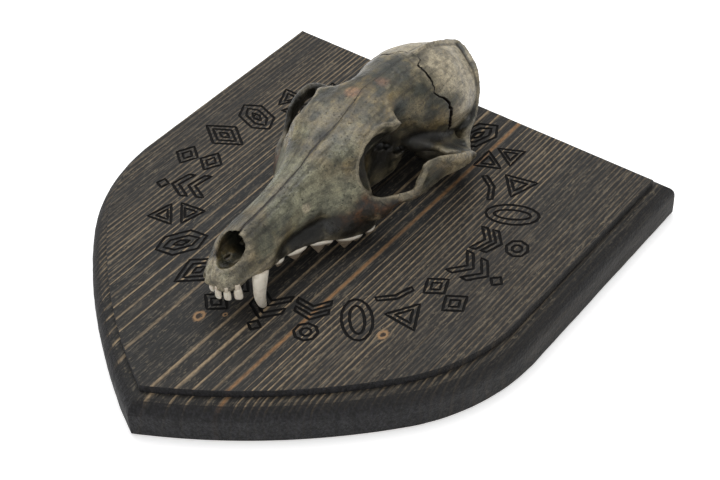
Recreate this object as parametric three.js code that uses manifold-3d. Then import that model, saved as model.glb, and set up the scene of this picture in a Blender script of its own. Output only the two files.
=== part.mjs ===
// Skull of a red fox lying on a shield-shaped wooden plaque.
// Millimetres, +Z up. +Y points at the straight top edge of the shield and the nose points
// along -Y at the shield's tip. +X is the animal's left. The origin is under the middle of the
// plaque's bounding box, on the surface that the plaque lies on.
import * as THREE from 'three';
import { mergeVertices } from 'three/addons/utils/BufferGeometryUtils.js';
import Module from 'manifold-3d';

const wasm = await Module();
wasm.setup();

// Driving dimensions of the plaque
const PLAQUE_WIDTH = 190;
const PLAQUE_LENGTH = 208.5;
const PLAQUE_THICKNESS = 18.4;
const SIDE_STRAIGHT = 98.8;
const SHOULDER_RADIUS = 78;
const SHOULDER_TURN = THREE.MathUtils.degToRad(41.5);
const TIP_RADIUS = 251;
const MOULDING_WIDTH = 6.7;
const MOULDING_STEP = 3.1;

// Driving dimensions of the skull, in its own frame:
// s runs back from the front of the upper jaw, w to the animal's left, h up from the gum line
const SKULL_LENGTH = 150;
const NOSE_LIFT = THREE.MathUtils.degToRad(7.5);
const SKULL_TURN = THREE.MathUtils.degToRad(1.6);
const JAW_FRONT = new THREE.Vector3(1.2, -57.6, PLAQUE_THICKNESS + 17.8);
const PARTING = 0.3;

// Lines of the skull: each is a height or a half-breadth, given where it turns
const crownHeight = along([[0, 2.6], [3, 4.8], [6, 7.4], [9.5, 12], [13.7, 15.8], [22, 17.4], [34, 20.2],
  [42, 22.8], [57, 29.7], [66, 32.8], [79, 37.6], [95, 40.2], [112, 40.8], [120, 40], [128, 39.2],
  [134, 37.4], [140, 35.2], [146, 32.6], [SKULL_LENGTH, 30.6]]);
const browHalf = along([[0, 2.2], [6, 4.1], [14, 5.9], [24, 6.4], [34, 6.2], [45, 7], [55, 9.8], [61, 13.2],
  [66, 15], [72, 15.1], [78, 16.2], [83.5, 18.9], [86.5, 14.6], [90, 11.2], [96, 10.4], [106, 11.6],
  [118, 12.2], [130, 12], [141, 10.6], [SKULL_LENGTH, 5]]);
const browHeight = along([[0, 1.8], [6, 6.2], [14, 13], [24, 14.8], [34, 17.2], [45, 20.8], [55, 25],
  [61, 27.6], [66, 30.6], [72, 33], [78, 33.6], [83.5, 32.8], [88, 35.2], [96, 36.6], [112, 37.2],
  [120, 36.9], [128, 35], [134, 32.7], [140, 30], [SKULL_LENGTH, 27.6]]);
const wallHalf = along([[0, 2.9], [3, 5.3], [6, 6.5], [14, 8.9], [22, 8.9], [35, 9.2], [45, 11],
  [54, 15], [60, 18.2], [65, 19], [70, 14.5], [76, 9.4], [85, 8.8], [91, 10], [97, 13.4], [105, 18.2],
  [115, 21.8], [123, 22.4], [133, 20.6], [141, 16.6], [SKULL_LENGTH, 7]]);
const wallHeight = along([[0, 1.3], [14, 8], [45, 11.4], [56, 15], [62, 18], [70, 18], [85, 20],
  [97, 22], [115, 23], [133, 20], [SKULL_LENGTH, 26]]);
const gumHalf = along([[0, 3.6], [3, 6.8], [9, 9.2], [15, 11], [20, 10.3], [26, 9.8], [35, 11.2],
  [45, 13.6], [52, 16.8], [58, 19.4], [66, 21], [71, 19.4], [75.5, 13], [79, 9.6], [92, 8.6], [99, 8.2],
  [104, 10.5], [112, 15], [124, 17.5], [134, 16], [142, 12], [SKULL_LENGTH, 5]]);
const gumHeight = along([[0, 0], [15, 1.4], [28, 1.2], [43, 0.4], [54, -1.4], [62, -2.4], [69, -2.2],
  [75, 0.4], [80, 1.2], [97, 0], [101, 6], [110, 8], [134, 7.6], [142, 10], [SKULL_LENGTH, 25]]);
const roofHeight = along([[0, 0.8], [8, 2.4], [30, 3.4], [60, 1.8], [72, 1.2], [80, 1.3], [97, 0.2],
  [101, 7.6], [112, 9], [134, 7.6], [142, 9.4], [SKULL_LENGTH, 24]]);

// Cheekbone: the bar from the upper jaw round to the braincase. Each row is a point s, w, h of
// its middle line, with its half-height and half-thickness there
const CHEEK = [[56, 13.5, 7.6, 5, 2.6], [61, 19, 7.2, 5.6, 2.4], [66, 23.4, 5.8, 4.8, 2],
  [71, 27, 8, 2.8, 1.7], [78, 30.4, 10.4, 2.7, 1.5], [84, 32.2, 14.2, 5.4, 1.4], [90, 33.6, 15.4, 6.1, 1.5],
  [97, 35, 14.8, 4.4, 1.6], [104, 35.4, 12.8, 2.7, 2], [109, 33, 11, 2.3, 3.2], [111.5, 28, 9.8, 2.3, 6.4],
  [112.5, 21.6, 10.4, 2.8, 7.8], [112.5, 14, 12, 3.6, 9]];
const CHEEK_LEAN = THREE.MathUtils.degToRad(-8);

// Where the bones part: s of the coronal suture, and the ends and inner side of a cheekbone
const CORONAL_SUTURE = 114;
const CORONAL_FOOT = 18;
const CHEEK_FRONT = 71;
const CHEEK_BACK = 98;
const CHEEK_INNER = 21.6;

// Teeth of one side, front to back: place in the row, crown length, breadth and height
const TEETH = {
  incisor1: { s: 1.9, w: 1.7, length: 2.6, breadth: 2.7, height: 5.6 },
  incisor2: { s: 2.9, w: 4.4, length: 2.8, breadth: 2.9, height: 6 },
  incisor3: { s: 5.8, w: 6.6, length: 3.8, breadth: 3.2, height: 7 },
  premolar1: { s: 24, length: 4.6, breadth: 2.8, height: 3.4 },
  premolar2: { s: 32.6, length: 8.8, breadth: 3, height: 4.8 },
  premolar3: { s: 42.8, length: 9.8, breadth: 3.4, height: 5.4 },
  premolar4: { s: 55.4, length: 14, breadth: 5, height: 6 },
  molar1: { s: 66.6, length: 9.2, breadth: 10.5, height: 3.4 },
  molar2: { s: 73.4, length: 5.2, breadth: 7, height: 2.6 },
};
const CANINE_PATH = [[18, 6.8, 6], [14.9, 9.4, 1.4], [14.3, 9.9, -4], [14.6, 9.9, -10], [16.2, 9.5, -15.4]];
const CANINE_LENGTH = 8;
const CANINE_BREADTH = 5.4;
const ROOT_DEPTH = 1.8;
const INCISOR_ROOT = 0.7;
const GUM_MARGIN = 0.9;
const BROKEN_INCISOR = 0.55;

// Monotone cubic curve through [position, value] pairs
function along(pairs) {
  const slopes = [];
  for (let i = 0; i < pairs.length - 1; i++) {
    slopes.push((pairs[i + 1][1] - pairs[i][1]) / (pairs[i + 1][0] - pairs[i][0]));
  }
  const tangents = pairs.map((pair, i) => {
    if (i === 0) return slopes[0];
    if (i === pairs.length - 1) return slopes[i - 1];
    if (slopes[i - 1] * slopes[i] <= 0) return 0;
    return 2 * slopes[i - 1] * slopes[i] / (slopes[i - 1] + slopes[i]);
  });
  return (at) => {
    const last = pairs.length - 1;
    if (at <= pairs[0][0]) return pairs[0][1];
    if (at >= pairs[last][0]) return pairs[last][1];
    const i = pairs.findIndex((pair) => pair[0] > at) - 1;
    const span = pairs[i + 1][0] - pairs[i][0];
    const t = (at - pairs[i][0]) / span;
    const u = 1 - t;
    return (1 + 2 * t) * u * u * pairs[i][1] + t * u * u * span * tangents[i]
      + t * t * (3 - 2 * t) * pairs[i + 1][1] - t * t * u * span * tangents[i + 1];
  };
}

// Point of the skull's own frame
function at(s, w, h) {
  return new THREE.Vector3(w, s, h);
}

// Closed skin over rings of equally many points, with a fan on each end
function loft(rings) {
  const count = rings[0].length;
  const points = rings.flat();
  const faces = [];
  for (let r = 0; r < rings.length - 1; r++) {
    for (let i = 0; i < count; i++) {
      const j = (i + 1) % count;
      const a = r * count + i;
      const b = r * count + j;
      faces.push(a, b, a + count, b, b + count, a + count);
    }
  }
  [rings[0], rings[rings.length - 1]].forEach((ring, end) => {
    const middle = ring.reduce((sum, p) => sum.add(p), new THREE.Vector3()).divideScalar(count);
    points.push(middle);
    const first = end * (rings.length - 1) * count;
    for (let i = 0; i < count; i++) {
      const j = (i + 1) % count;
      if (end) faces.push(first + i, first + j, points.length - 1);
      else faces.push(first + j, first + i, points.length - 1);
    }
  });
  const geometry = new THREE.BufferGeometry().setFromPoints(points);
  geometry.setIndex(faces);
  return geometry;
}

// Solid of a closed geometry, turned right side out if its rings ran the other way
function solid(geometry) {
  const bare = geometry.clone();
  bare.deleteAttribute('normal');
  bare.deleteAttribute('uv');
  const merged = mergeVertices(bare, 1e-4);
  const positions = merged.attributes.position.array;
  const index = Uint32Array.from(merged.index.array);
  let volume = 0;
  const corner = (k) => new THREE.Vector3().fromArray(positions, index[k] * 3);
  for (let k = 0; k < index.length; k += 3) {
    volume += corner(k).dot(corner(k + 1).cross(corner(k + 2)));
  }
  if (volume < 0) index.reverse();
  return new wasm.Manifold(new wasm.Mesh({
    numProp: 3,
    vertProperties: Float32Array.from(positions),
    triVerts: index,
  }));
}

function largest(body) {
  return body.decompose().reduce((best, piece) => (piece.volume() > best.volume() ? piece : best));
}

function geometryOf(body) {
  const mesh = body.getMesh();
  const geometry = new THREE.BufferGeometry();
  geometry.setAttribute('position', new THREE.BufferAttribute(mesh.vertProperties, 3));
  geometry.setIndex(new THREE.BufferAttribute(mesh.triVerts, 1));
  return geometry;
}

function ellipsoid(centre, radii, segments = 20) {
  const ball = new THREE.SphereGeometry(1, segments, segments / 2);
  ball.scale(radii.x, radii.y, radii.z);
  ball.translate(centre.x, centre.y, centre.z);
  return solid(ball);
}

// Bar along a smooth path; reach(t) gives its half-thickness, half-height and the turn of its
// section about the path, and the section stays upright
function bar(path, reach, steps, sides) {
  const curve = new THREE.CatmullRomCurve3(path, false, 'centripetal');
  const rings = [];
  for (let k = 0; k <= steps; k++) {
    const t = k / steps;
    const centre = curve.getPoint(t);
    const ahead = curve.getTangent(t);
    const out = new THREE.Vector3().crossVectors(ahead, new THREE.Vector3(0, 0, 1)).normalize();
    const up = new THREE.Vector3().crossVectors(out, ahead).normalize();
    const [thick, tall, lean] = reach(t);
    const ring = [];
    for (let i = 0; i < sides; i++) {
      const angle = 2 * Math.PI * i / sides;
      const side = Math.cos(angle) * thick;
      const rise = Math.sin(angle) * tall;
      ring.push(centre.clone()
        .addScaledVector(out, side * Math.cos(lean) - rise * Math.sin(lean))
        .addScaledVector(up, side * Math.sin(lean) + rise * Math.cos(lean)));
    }
    rings.push(ring);
  }
  return solid(loft(rings));
}

// Plaque: shield outline at an inset from the outer edge
function shieldOutline(inset) {
  const half = PLAQUE_WIDTH / 2;
  const top = PLAQUE_LENGTH / 2;
  const bend = top - SIDE_STRAIGHT;
  const shoulder = new THREE.Vector2(half - SHOULDER_RADIUS, bend);
  const swing = SHOULDER_RADIUS - TIP_RADIUS;
  const tip = new THREE.Vector2(
    shoulder.x + swing * Math.cos(SHOULDER_TURN),
    shoulder.y - swing * Math.sin(SHOULDER_TURN),
  );
  const shoulderSteps = 12;
  const tipSteps = 9;
  const right = [new THREE.Vector2(half - inset, top - inset), new THREE.Vector2(half - inset, bend)];
  for (let k = 1; k <= shoulderSteps; k++) {
    const angle = -SHOULDER_TURN * k / shoulderSteps;
    const reach = SHOULDER_RADIUS - inset;
    right.push(new THREE.Vector2(shoulder.x + reach * Math.cos(angle), shoulder.y + reach * Math.sin(angle)));
  }
  const tipReach = TIP_RADIUS - inset;
  const tipAngle = Math.acos(-tip.x / tipReach);
  for (let k = 1; k <= tipSteps; k++) {
    const angle = -THREE.MathUtils.lerp(SHOULDER_TURN, tipAngle, k / tipSteps);
    right.push(new THREE.Vector2(tip.x + tipReach * Math.cos(angle), tip.y + tipReach * Math.sin(angle)));
  }
  const left = right.slice(0, -1).reverse().map((p) => new THREE.Vector2(-p.x, p.y));
  return [...right, ...left];
}

function plaqueGeometry() {
  const shoulder = PLAQUE_THICKNESS - MOULDING_STEP;
  const profile = [[0, 0], [0, shoulder - MOULDING_WIDTH]];
  const roundSteps = 5;
  for (let k = 1; k <= roundSteps; k++) {
    const angle = Math.PI / 2 * k / roundSteps;
    profile.push([
      MOULDING_WIDTH * (1 - Math.cos(angle)),
      shoulder - MOULDING_WIDTH * (1 - Math.sin(angle)),
    ]);
  }
  profile.push([MOULDING_WIDTH, PLAQUE_THICKNESS]);
  return loft(profile.map(([inset, z]) => shieldOutline(inset).map((p) => new THREE.Vector3(p.x, p.y, z))));
}

// Cranium: sections across the skull through its named lines
function craniumSection(s) {
  const half = [
    at(s, browHalf(s), browHeight(s)),
    at(s, wallHalf(s), wallHeight(s)),
    at(s, gumHalf(s), gumHeight(s)),
    at(s, gumHalf(s) * 0.78, gumHeight(s)),
  ];
  const mirrored = half.map((p) => at(s, -p.x, p.z)).reverse();
  const keys = [at(s, 0, crownHeight(s)), ...half, at(s, 0, roofHeight(s)), ...mirrored];
  const curve = new THREE.CatmullRomCurve3(keys, true, 'centripetal');
  const samples = keys.length * 3;
  return Array.from({ length: samples }, (_, i) => curve.getPoint(i / samples));
}

function craniumCore() {
  const steps = 60;
  const rings = Array.from({ length: steps + 1 }, (_, k) => craniumSection(SKULL_LENGTH * k / steps));
  return solid(loft(rings));
}

// Tube along the skull with an egg-shaped section: rows of s, half-breadth, lowest and highest h
function channel(rows, sides = 14) {
  return solid(loft(rows.map(([s, half, low, high]) => {
    const ring = [];
    for (let i = 0; i < sides; i++) {
      const angle = 2 * Math.PI * i / sides;
      ring.push(at(s, half * Math.cos(angle), (low + high) / 2 + (high - low) / 2 * Math.sin(angle)));
    }
    return ring;
  })));
}

// Everything on one side of the skull: side is 1 on the left and -1 on the right
function cheekBar(side) {
  const path = CHEEK.map(([s, w, h]) => at(s, w * side, h));
  const tall = along(CHEEK.map((row, i) => [i / (CHEEK.length - 1), row[3]]));
  const thick = along(CHEEK.map((row, i) => [i / (CHEEK.length - 1), row[4]]));
  return bar(path, (t) => [thick(t), tall(t), CHEEK_LEAN * -side], 36, 10);
}

function hollows(side) {
  return [
    ellipsoid(at(73, 22.4 * side, 21.6), new THREE.Vector3(13.4, 12.6, 11.4), 24),
    ellipsoid(at(49, 15.8 * side, 8.2), new THREE.Vector3(1.7, 3.4, 2.3), 10),
    ellipsoid(at(119.5, 22.5 * side, 10.5), new THREE.Vector3(4.6, 3, 2.8), 12),
  ];
}

function bosses(side) {
  const condyle = ellipsoid(at(139.8, 7.8 * side, 10.2), new THREE.Vector3(4.4, 4.4, 6), 12);
  const bulla = ellipsoid(at(118, 12.5 * side, 6.2), new THREE.Vector3(7.4, 11, 8.2), 20);
  const mastoid = ellipsoid(at(127.6, 20 * side, 9.4), new THREE.Vector3(2.4, 5, 5.6), 12);
  const beside = bar([at(131, 14.5 * side, 13), at(132, 15.6 * side, 6), at(132.6, 16.2 * side, 0.4)],
    (t) => [2.6 - 1.4 * t, 2.6 - 1.6 * t, 0], 6, 8);
  const behindJoint = ellipsoid(at(117.4, 26.4 * side, 8), new THREE.Vector3(5.4, 2.2, 4.8), 12);
  return [condyle, bulla, mastoid, beside, behindJoint];
}

function crests() {
  const ridge = [[146.4, 8, 28.8], [144.2, 12, 26.8], [140.8, 16, 23], [137, 18.8, 19.6], [134, 20.6, 15],
    [131.8, 21.4, 9.6]];
  const rim = [
    ...ridge.map(([s, w, h]) => at(s, -w, h)).reverse(),
    at(149.6, 0, 30.6),
    ...ridge.map(([s, w, h]) => at(s, w, h)),
  ];
  const middle = [at(106, 0, 38.8), at(118, 0, 39.8), at(128, 0, 39.4), at(139, 0, 36.4), at(149.8, 0, 30.8)];
  return [
    bar(rim, () => [1.5, 1.7, 0], 36, 8),
    bar(middle, () => [1, 1.3, 0], 14, 6),
  ];
}

// Crown on its root: rings of a rounded outline that shrink from the gum line to the cusp
function crown({
  s, w, gum, length, breadth, height, root = ROOT_DEPTH, cuspShift = 0, cuspWidth = 0.3, sides = 8,
}) {
  const rows = [[-root, 0.8, 0], [0, 0.94, 0], [0.3, 1, 0.1], [0.7, (1 + cuspWidth) / 2, 0.6],
    [1, cuspWidth, 1]];
  return solid(loft(rows.map(([depth, scale, shift]) => {
    const h = depth < 0 ? gum - depth : gum - depth * height;
    const ring = [];
    for (let i = 0; i < sides; i++) {
      const angle = 2 * Math.PI * (i + 0.5) / sides;
      ring.push(at(
        s + cuspShift * shift + Math.cos(angle) * length / 2 * scale,
        w + Math.sin(angle) * breadth / 2 * Math.min(1, scale * 1.05),
        h,
      ));
    }
    return ring;
  })));
}

function canine(side) {
  const path = CANINE_PATH.map(([s, w, h]) => at(s, w * side, h));
  const curve = new THREE.CatmullRomCurve3(path, false, 'centripetal');
  const swell = along([[0, 0.8], [0.3, 1], [0.55, 0.82], [0.8, 0.54], [0.94, 0.3], [1, 0.12]]);
  const rings = [];
  const steps = 9;
  const sides = 10;
  for (let k = 0; k <= steps; k++) {
    const centre = curve.getPoint(k / steps);
    const size = swell(k / steps);
    const ring = [];
    for (let i = 0; i < sides; i++) {
      const angle = 2 * Math.PI * i / sides;
      ring.push(at(
        centre.y + Math.cos(angle) * CANINE_LENGTH / 2 * size,
        centre.x + Math.sin(angle) * CANINE_BREADTH / 2 * size,
        centre.z,
      ));
    }
    rings.push(ring);
  }
  return solid(loft(rings));
}

function incisors(side) {
  const kept = side > 0 ? ['incisor1', 'incisor2', 'incisor3'] : ['incisor1'];
  return kept.map((name) => {
    const { s, w, length, breadth, height } = TEETH[name];
    const worn = side > 0 ? 1 : BROKEN_INCISOR;
    return crown({
      s, w: w * side, gum: gumHeight(s) + 0.3, length, breadth, height: height * worn, root: INCISOR_ROOT,
      cuspWidth: 0.62,
    });
  });
}

function cheekTeeth(side) {
  const crowns = [];
  const add = (name, { back = 0, inward = 0, length = 1, breadth = 1, height = 1, cuspShift = 0 } = {}) => {
    const tooth = TEETH[name];
    const s = tooth.s + back;
    const w = (gumHalf(tooth.s) - GUM_MARGIN - tooth.breadth * breadth / 2 - inward) * side;
    crowns.push(crown({
      s, w, gum: gumHeight(tooth.s) + 0.4, length: tooth.length * length, breadth: tooth.breadth * breadth,
      height: tooth.height * height, cuspShift,
    }));
  };
  add('premolar1');
  ['premolar2', 'premolar3'].forEach((name) => {
    add(name, { length: 0.8, back: -0.6, cuspShift: 0.2 });
    add(name, { back: TEETH[name].length * 0.3, length: 0.4, breadth: 0.8, height: 0.5 });
  });
  add('premolar4', { back: -2, length: 0.62, cuspShift: 0.8, breadth: 0.9 });
  add('premolar4', { back: 3.6, length: 0.5, height: 0.66, breadth: 0.8 });
  add('premolar4', { back: -4.4, inward: 3.4, length: 0.26, height: 0.5, breadth: 0.7 });
  add('molar1', { back: -2, length: 0.52, breadth: 0.46, height: 1.1 });
  add('molar1', { back: 2, length: 0.5, breadth: 0.44 });
  add('molar1', { back: 0.4, inward: 3.6, length: 0.8, breadth: 0.62, height: 0.8 });
  add('molar2', { back: -0.2, length: 0.9, breadth: 1 });
  return crowns;
}

function join(base, pieces) {
  return pieces.reduce((sum, piece) => sum.add(piece), base);
}

function cut(base, pieces) {
  return pieces.reduce((rest, piece) => rest.subtract(piece), base);
}

function box(low, high) {
  const size = new THREE.Vector3().subVectors(high, low);
  const block = new THREE.BoxGeometry(size.x, size.y, size.z);
  block.translate((low.x + high.x) / 2, (low.y + high.y) / 2, (low.z + high.z) / 2);
  return solid(block);
}

// Whole skull, in its own frame
const SIDES = [1, -1];
const noseCavity = channel([[-3, 3.6, 5.4, 14.6], [8, 4.4, 5.2, 15.2], [15, 4.9, 5.4, 15.4],
  [24, 4.6, 5.6, 14.4], [36, 3.6, 6.6, 13.4]]);
const throat = channel([[73.4, 4.4, -5, 5], [76, 6, -7, 7.6], [90, 6.2, -7, 8], [104, 6, -6, 7.6]]);
const spineHole = ellipsoid(at(147, 0, 15), new THREE.Vector3(6.8, 9, 5.8), 16);
let skullBody = cut(craniumCore(), SIDES.flatMap(hollows));
skullBody = join(skullBody, [...SIDES.map(cheekBar), ...SIDES.flatMap(bosses), ...crests()]);
skullBody = cut(skullBody, [noseCavity, throat, spineHole]);
skullBody = join(skullBody, SIDES.flatMap((side) => [canine(side), ...incisors(side), ...cheekTeeth(side)]));

// Parted by thin cuts: at the coronal suture and, below it, where each cheekbone meets the
// bones at its ends
const REACH = 200;
function suturePrism(shift) {
  const outline = new THREE.Shape([
    new THREE.Vector2(-REACH, -REACH),
    new THREE.Vector2(CHEEK_BACK + shift, -REACH),
    new THREE.Vector2(CHEEK_BACK + shift, CORONAL_FOOT - 2.5 - shift),
    new THREE.Vector2(CORONAL_SUTURE + shift, CORONAL_FOOT - shift),
    new THREE.Vector2(CORONAL_SUTURE + shift, REACH),
    new THREE.Vector2(-REACH, REACH),
  ]);
  const prism = new THREE.ExtrudeGeometry(outline, { depth: 2 * REACH, bevelEnabled: false });
  prism.translate(0, 0, -REACH);
  prism.applyMatrix4(new THREE.Matrix4().makeBasis(at(1, 0, 0), at(0, 0, 1), at(0, 1, 0)));
  return solid(prism);
}

function cheekBlock(side, margin) {
  const inner = CHEEK_INNER - margin;
  return box(
    at(CHEEK_FRONT - margin, side > 0 ? inner : -REACH, -REACH),
    at(CHEEK_BACK - PARTING / 2 + margin, side > 0 ? REACH : -inner, REACH),
  );
}

const withoutCheeks = cut(skullBody, SIDES.map((side) => cheekBlock(side, PARTING)));
const bones = {
  snout: largest(withoutCheeks.intersect(suturePrism(-PARTING / 2))),
  braincase: largest(withoutCheeks.subtract(suturePrism(PARTING / 2))),
  cheekbone_left: largest(skullBody.intersect(cheekBlock(1, 0))),
  cheekbone_right: largest(skullBody.intersect(cheekBlock(-1, 0))),
};

const boneMaterial = new THREE.MeshStandardMaterial({ color: 0x6f6c5c, roughness: 0.55, metalness: 0 });
const woodMaterial = new THREE.MeshStandardMaterial({ color: 0x3b3530, roughness: 0.7, metalness: 0 });

function named(name, geometry, material) {
  const mesh = new THREE.Mesh(geometry, material);
  mesh.name = name;
  return mesh;
}

const part = new THREE.Group();
part.add(named('plaque', geometryOf(solid(plaqueGeometry())), woodMaterial));
const skull = new THREE.Group();
skull.position.copy(JAW_FRONT);
skull.rotation.set(-NOSE_LIFT, 0, SKULL_TURN, 'ZXY');
Object.entries(bones).forEach(([name, body]) => skull.add(named(name, geometryOf(body), boneMaterial)));
part.add(skull);

export default part;
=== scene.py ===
import math
import random

import bmesh
import bpy
import numpy as np
from mathutils import Matrix, Vector, kdtree, noise


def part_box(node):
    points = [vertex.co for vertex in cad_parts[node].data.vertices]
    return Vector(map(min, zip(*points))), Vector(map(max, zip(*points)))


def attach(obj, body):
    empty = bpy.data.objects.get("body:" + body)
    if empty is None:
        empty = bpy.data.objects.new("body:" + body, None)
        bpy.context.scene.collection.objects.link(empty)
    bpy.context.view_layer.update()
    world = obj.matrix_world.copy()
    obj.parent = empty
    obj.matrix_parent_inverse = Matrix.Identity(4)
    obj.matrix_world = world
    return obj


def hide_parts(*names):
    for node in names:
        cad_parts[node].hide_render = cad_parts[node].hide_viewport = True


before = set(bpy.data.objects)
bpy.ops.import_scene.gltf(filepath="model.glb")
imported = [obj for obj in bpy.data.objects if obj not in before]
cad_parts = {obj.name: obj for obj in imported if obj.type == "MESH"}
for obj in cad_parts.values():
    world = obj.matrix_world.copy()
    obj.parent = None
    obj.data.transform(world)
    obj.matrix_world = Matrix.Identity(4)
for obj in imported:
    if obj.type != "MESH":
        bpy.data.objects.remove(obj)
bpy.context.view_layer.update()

# The plaque is one pine board cut to a shield, with a quarter-round moulding and a small step
# run round its edge by a router. It is stained a dark grey brown, and a ring of plain marks is
# carved in its face with narrow grooves.
MM = 0.001
board_low, board_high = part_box("plaque")
BOARD_TOP = board_high.z
SIDE_STRAIGHT = 98.8 * MM
SHOULDER_RADIUS = 78 * MM
SHOULDER_TURN = math.radians(41.5)
TIP_RADIUS = 251 * MM
MOULDING_WIDTH = 6.7 * MM
MOULDING_STEP = 3.1 * MM
SHIELD_PARTS = (40, 30, 26, 44)


def shield_point(share, inset):
    """Point of the shield's outline; share runs from 0 to 1 once round it."""
    half, top = board_high.x, board_high.y
    bend = top - SIDE_STRAIGHT
    shoulder_x = half - SHOULDER_RADIUS
    swing = SHOULDER_RADIUS - TIP_RADIUS
    tip_x = shoulder_x + swing * math.cos(SHOULDER_TURN)
    tip_y = bend - swing * math.sin(SHOULDER_TURN)
    back, side, shoulder, tip = SHIELD_PARTS
    count = 2 * sum(SHIELD_PARTS)
    place = round(share * count) % count
    mirror = 1
    if place > count // 2:
        place, mirror = count - place, -1
    if place <= back:
        x, y = (half - inset) * place / back, top - inset
    elif place <= back + side:
        x, y = half - inset, top - inset - (SIDE_STRAIGHT - inset) * (place - back) / side
    elif place <= back + side + shoulder:
        turn = SHOULDER_TURN * (place - back - side) / shoulder
        reach = SHOULDER_RADIUS - inset
        x, y = shoulder_x + reach * math.cos(turn), bend - reach * math.sin(turn)
    else:
        reach = TIP_RADIUS - inset
        last = math.acos(-tip_x / reach)
        turn = SHOULDER_TURN + (last - SHOULDER_TURN) * (place - back - side - shoulder) / tip
        x, y = tip_x + reach * math.cos(turn), tip_y - reach * math.sin(turn)
    return mirror * x, y


def tube(place, steps, sides):
    """Closed tube: place(row, column) gives the point of each row and column."""
    bm = bmesh.new()
    bmesh.ops.create_cone(bm, cap_ends=True, cap_tris=False, segments=sides, radius1=1, radius2=1, depth=1)
    if steps > 1:
        upright = [e for e in bm.edges if abs(e.verts[0].co.z - e.verts[1].co.z) > 0.5]
        bmesh.ops.subdivide_edges(bm, edges=upright, cuts=steps - 1, use_grid_fill=True)
    for v in bm.verts:
        row = round((v.co.z + 0.5) * steps)
        column = round(math.atan2(v.co.y, v.co.x) / math.tau * sides) % sides
        v.co = place(row, column)
    bmesh.ops.recalc_face_normals(bm, faces=bm.faces)
    return bm


def new_object(name, bm):
    mesh = bpy.data.meshes.new(name)
    bm.to_mesh(mesh)
    bm.free()
    obj = bpy.data.objects.new(name, mesh)
    bpy.context.scene.collection.objects.link(obj)
    return obj


def final_mesh(obj):
    """Mesh of an object as its curve settings or modifiers make it."""
    bpy.context.view_layer.update()
    graph = bpy.context.evaluated_depsgraph_get()
    return bpy.data.meshes.new_from_object(obj.evaluated_get(graph))


def applied(obj, kind, **settings):
    """Adds one modifier with its settings and applies it."""
    modifier = obj.modifiers.new(kind.lower(), kind)
    for key, value in settings.items():
        setattr(modifier, key, value)
    result = final_mesh(obj)
    obj.modifiers.clear()
    old, obj.data = obj.data, result
    bpy.data.meshes.remove(old)


def combined(obj, other, operation):
    """obj cut by, met with or joined to other by a manifold boolean; other is used up."""
    applied(obj, "BOOLEAN", object=other, operation=operation, solver="MANIFOLD")
    bpy.data.objects.remove(other)
    return obj


def board_profile():
    shoulder = BOARD_TOP - MOULDING_STEP
    wear = 0.35 * MM
    rows = [(wear, 0), (0, wear), (0, (shoulder - MOULDING_WIDTH) * 0.5), (0, shoulder - MOULDING_WIDTH)]
    round_steps = 9
    for k in range(1, round_steps + 1):
        turn = math.pi / 2 * k / round_steps
        rows.append((MOULDING_WIDTH * (1 - math.cos(turn)),
                     shoulder - MOULDING_WIDTH * (1 - math.sin(turn))))
    edge = 0.3 * MM
    return rows + [(MOULDING_WIDTH, BOARD_TOP - edge),
                   (MOULDING_WIDTH + edge * 0.35, BOARD_TOP - edge * 0.3),
                   (MOULDING_WIDTH + edge, BOARD_TOP)]


profile = board_profile()
ring_count = 2 * sum(SHIELD_PARTS)


def board_point(row, column):
    inset, height = profile[row]
    if 0 < row < len(profile) - 1:
        x, y = shield_point(column / ring_count, 0)
        rough = noise.noise(Vector((x * 260, y * 260, height * 900)))
        torn = noise.noise(Vector((x * 900, y * 900, height * 300)))
        torn *= 1 if y > board_high.y - 2 * MM else 0.35
        inset += 0.12 * MM * (rough + 0.4) + 0.12 * MM * (torn + 0.3)
    x, y = shield_point(column / ring_count, inset)
    return Vector((x, y, height))


def scored(bm, step):
    """Splits large flat faces along a square grid, so that later cuts stay clean."""
    for axis, low, high in ((0, board_low.x, board_high.x), (1, board_low.y, board_high.y)):
        for k in range(1, int((high - low) / step)):
            point, normal = Vector((0, 0, 0)), Vector((0, 0, 0))
            point[axis], normal[axis] = low + k * step, 1
            flat = [f for f in bm.faces if abs(f.normal.z) > 0.999]
            edges = list({e for f in flat for e in f.edges})
            verts = list({v for f in flat for v in f.verts})
            bmesh.ops.bisect_plane(bm, geom=flat + edges + verts, dist=1e-6,
                                   plane_co=point, plane_no=normal)
    return bm


plaque = new_object("shield_plaque", scored(tube(board_point, len(profile) - 1, ring_count), 9.3 * MM))

RING_CENTRE = Vector((-2.4 * MM, 19.4 * MM))
RING_INNER = 54.9 * MM
RING_OUTER = 75 * MM
MARKS = 24
MARK_TURN = math.radians(4.94)
GROOVE = 0.6 * MM
HAND_SLIP = 0.07
carver = random.Random(24)


def ngon(sides, wide, tall, middle=0.0, turn=0.0):
    turns = [math.tau * k / sides + turn for k in range(sides)]
    return [(wide * math.sin(a), middle + tall * math.cos(a)) for a in turns]


def chevron(low, rise, wide, band):
    return [(-wide, low), (0, low + rise), (wide, low), (wide, low + band), (0, low + rise + band),
            (-wide, low + band)]


def leaf(wide, tall, middle=0.0):
    half = [(wide * math.sin(math.pi * k / 8), middle + tall * math.cos(math.pi * k / 8)) for k in range(9)]
    return half + [(-x, y) for x, y in half[-2:0:-1]]


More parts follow.
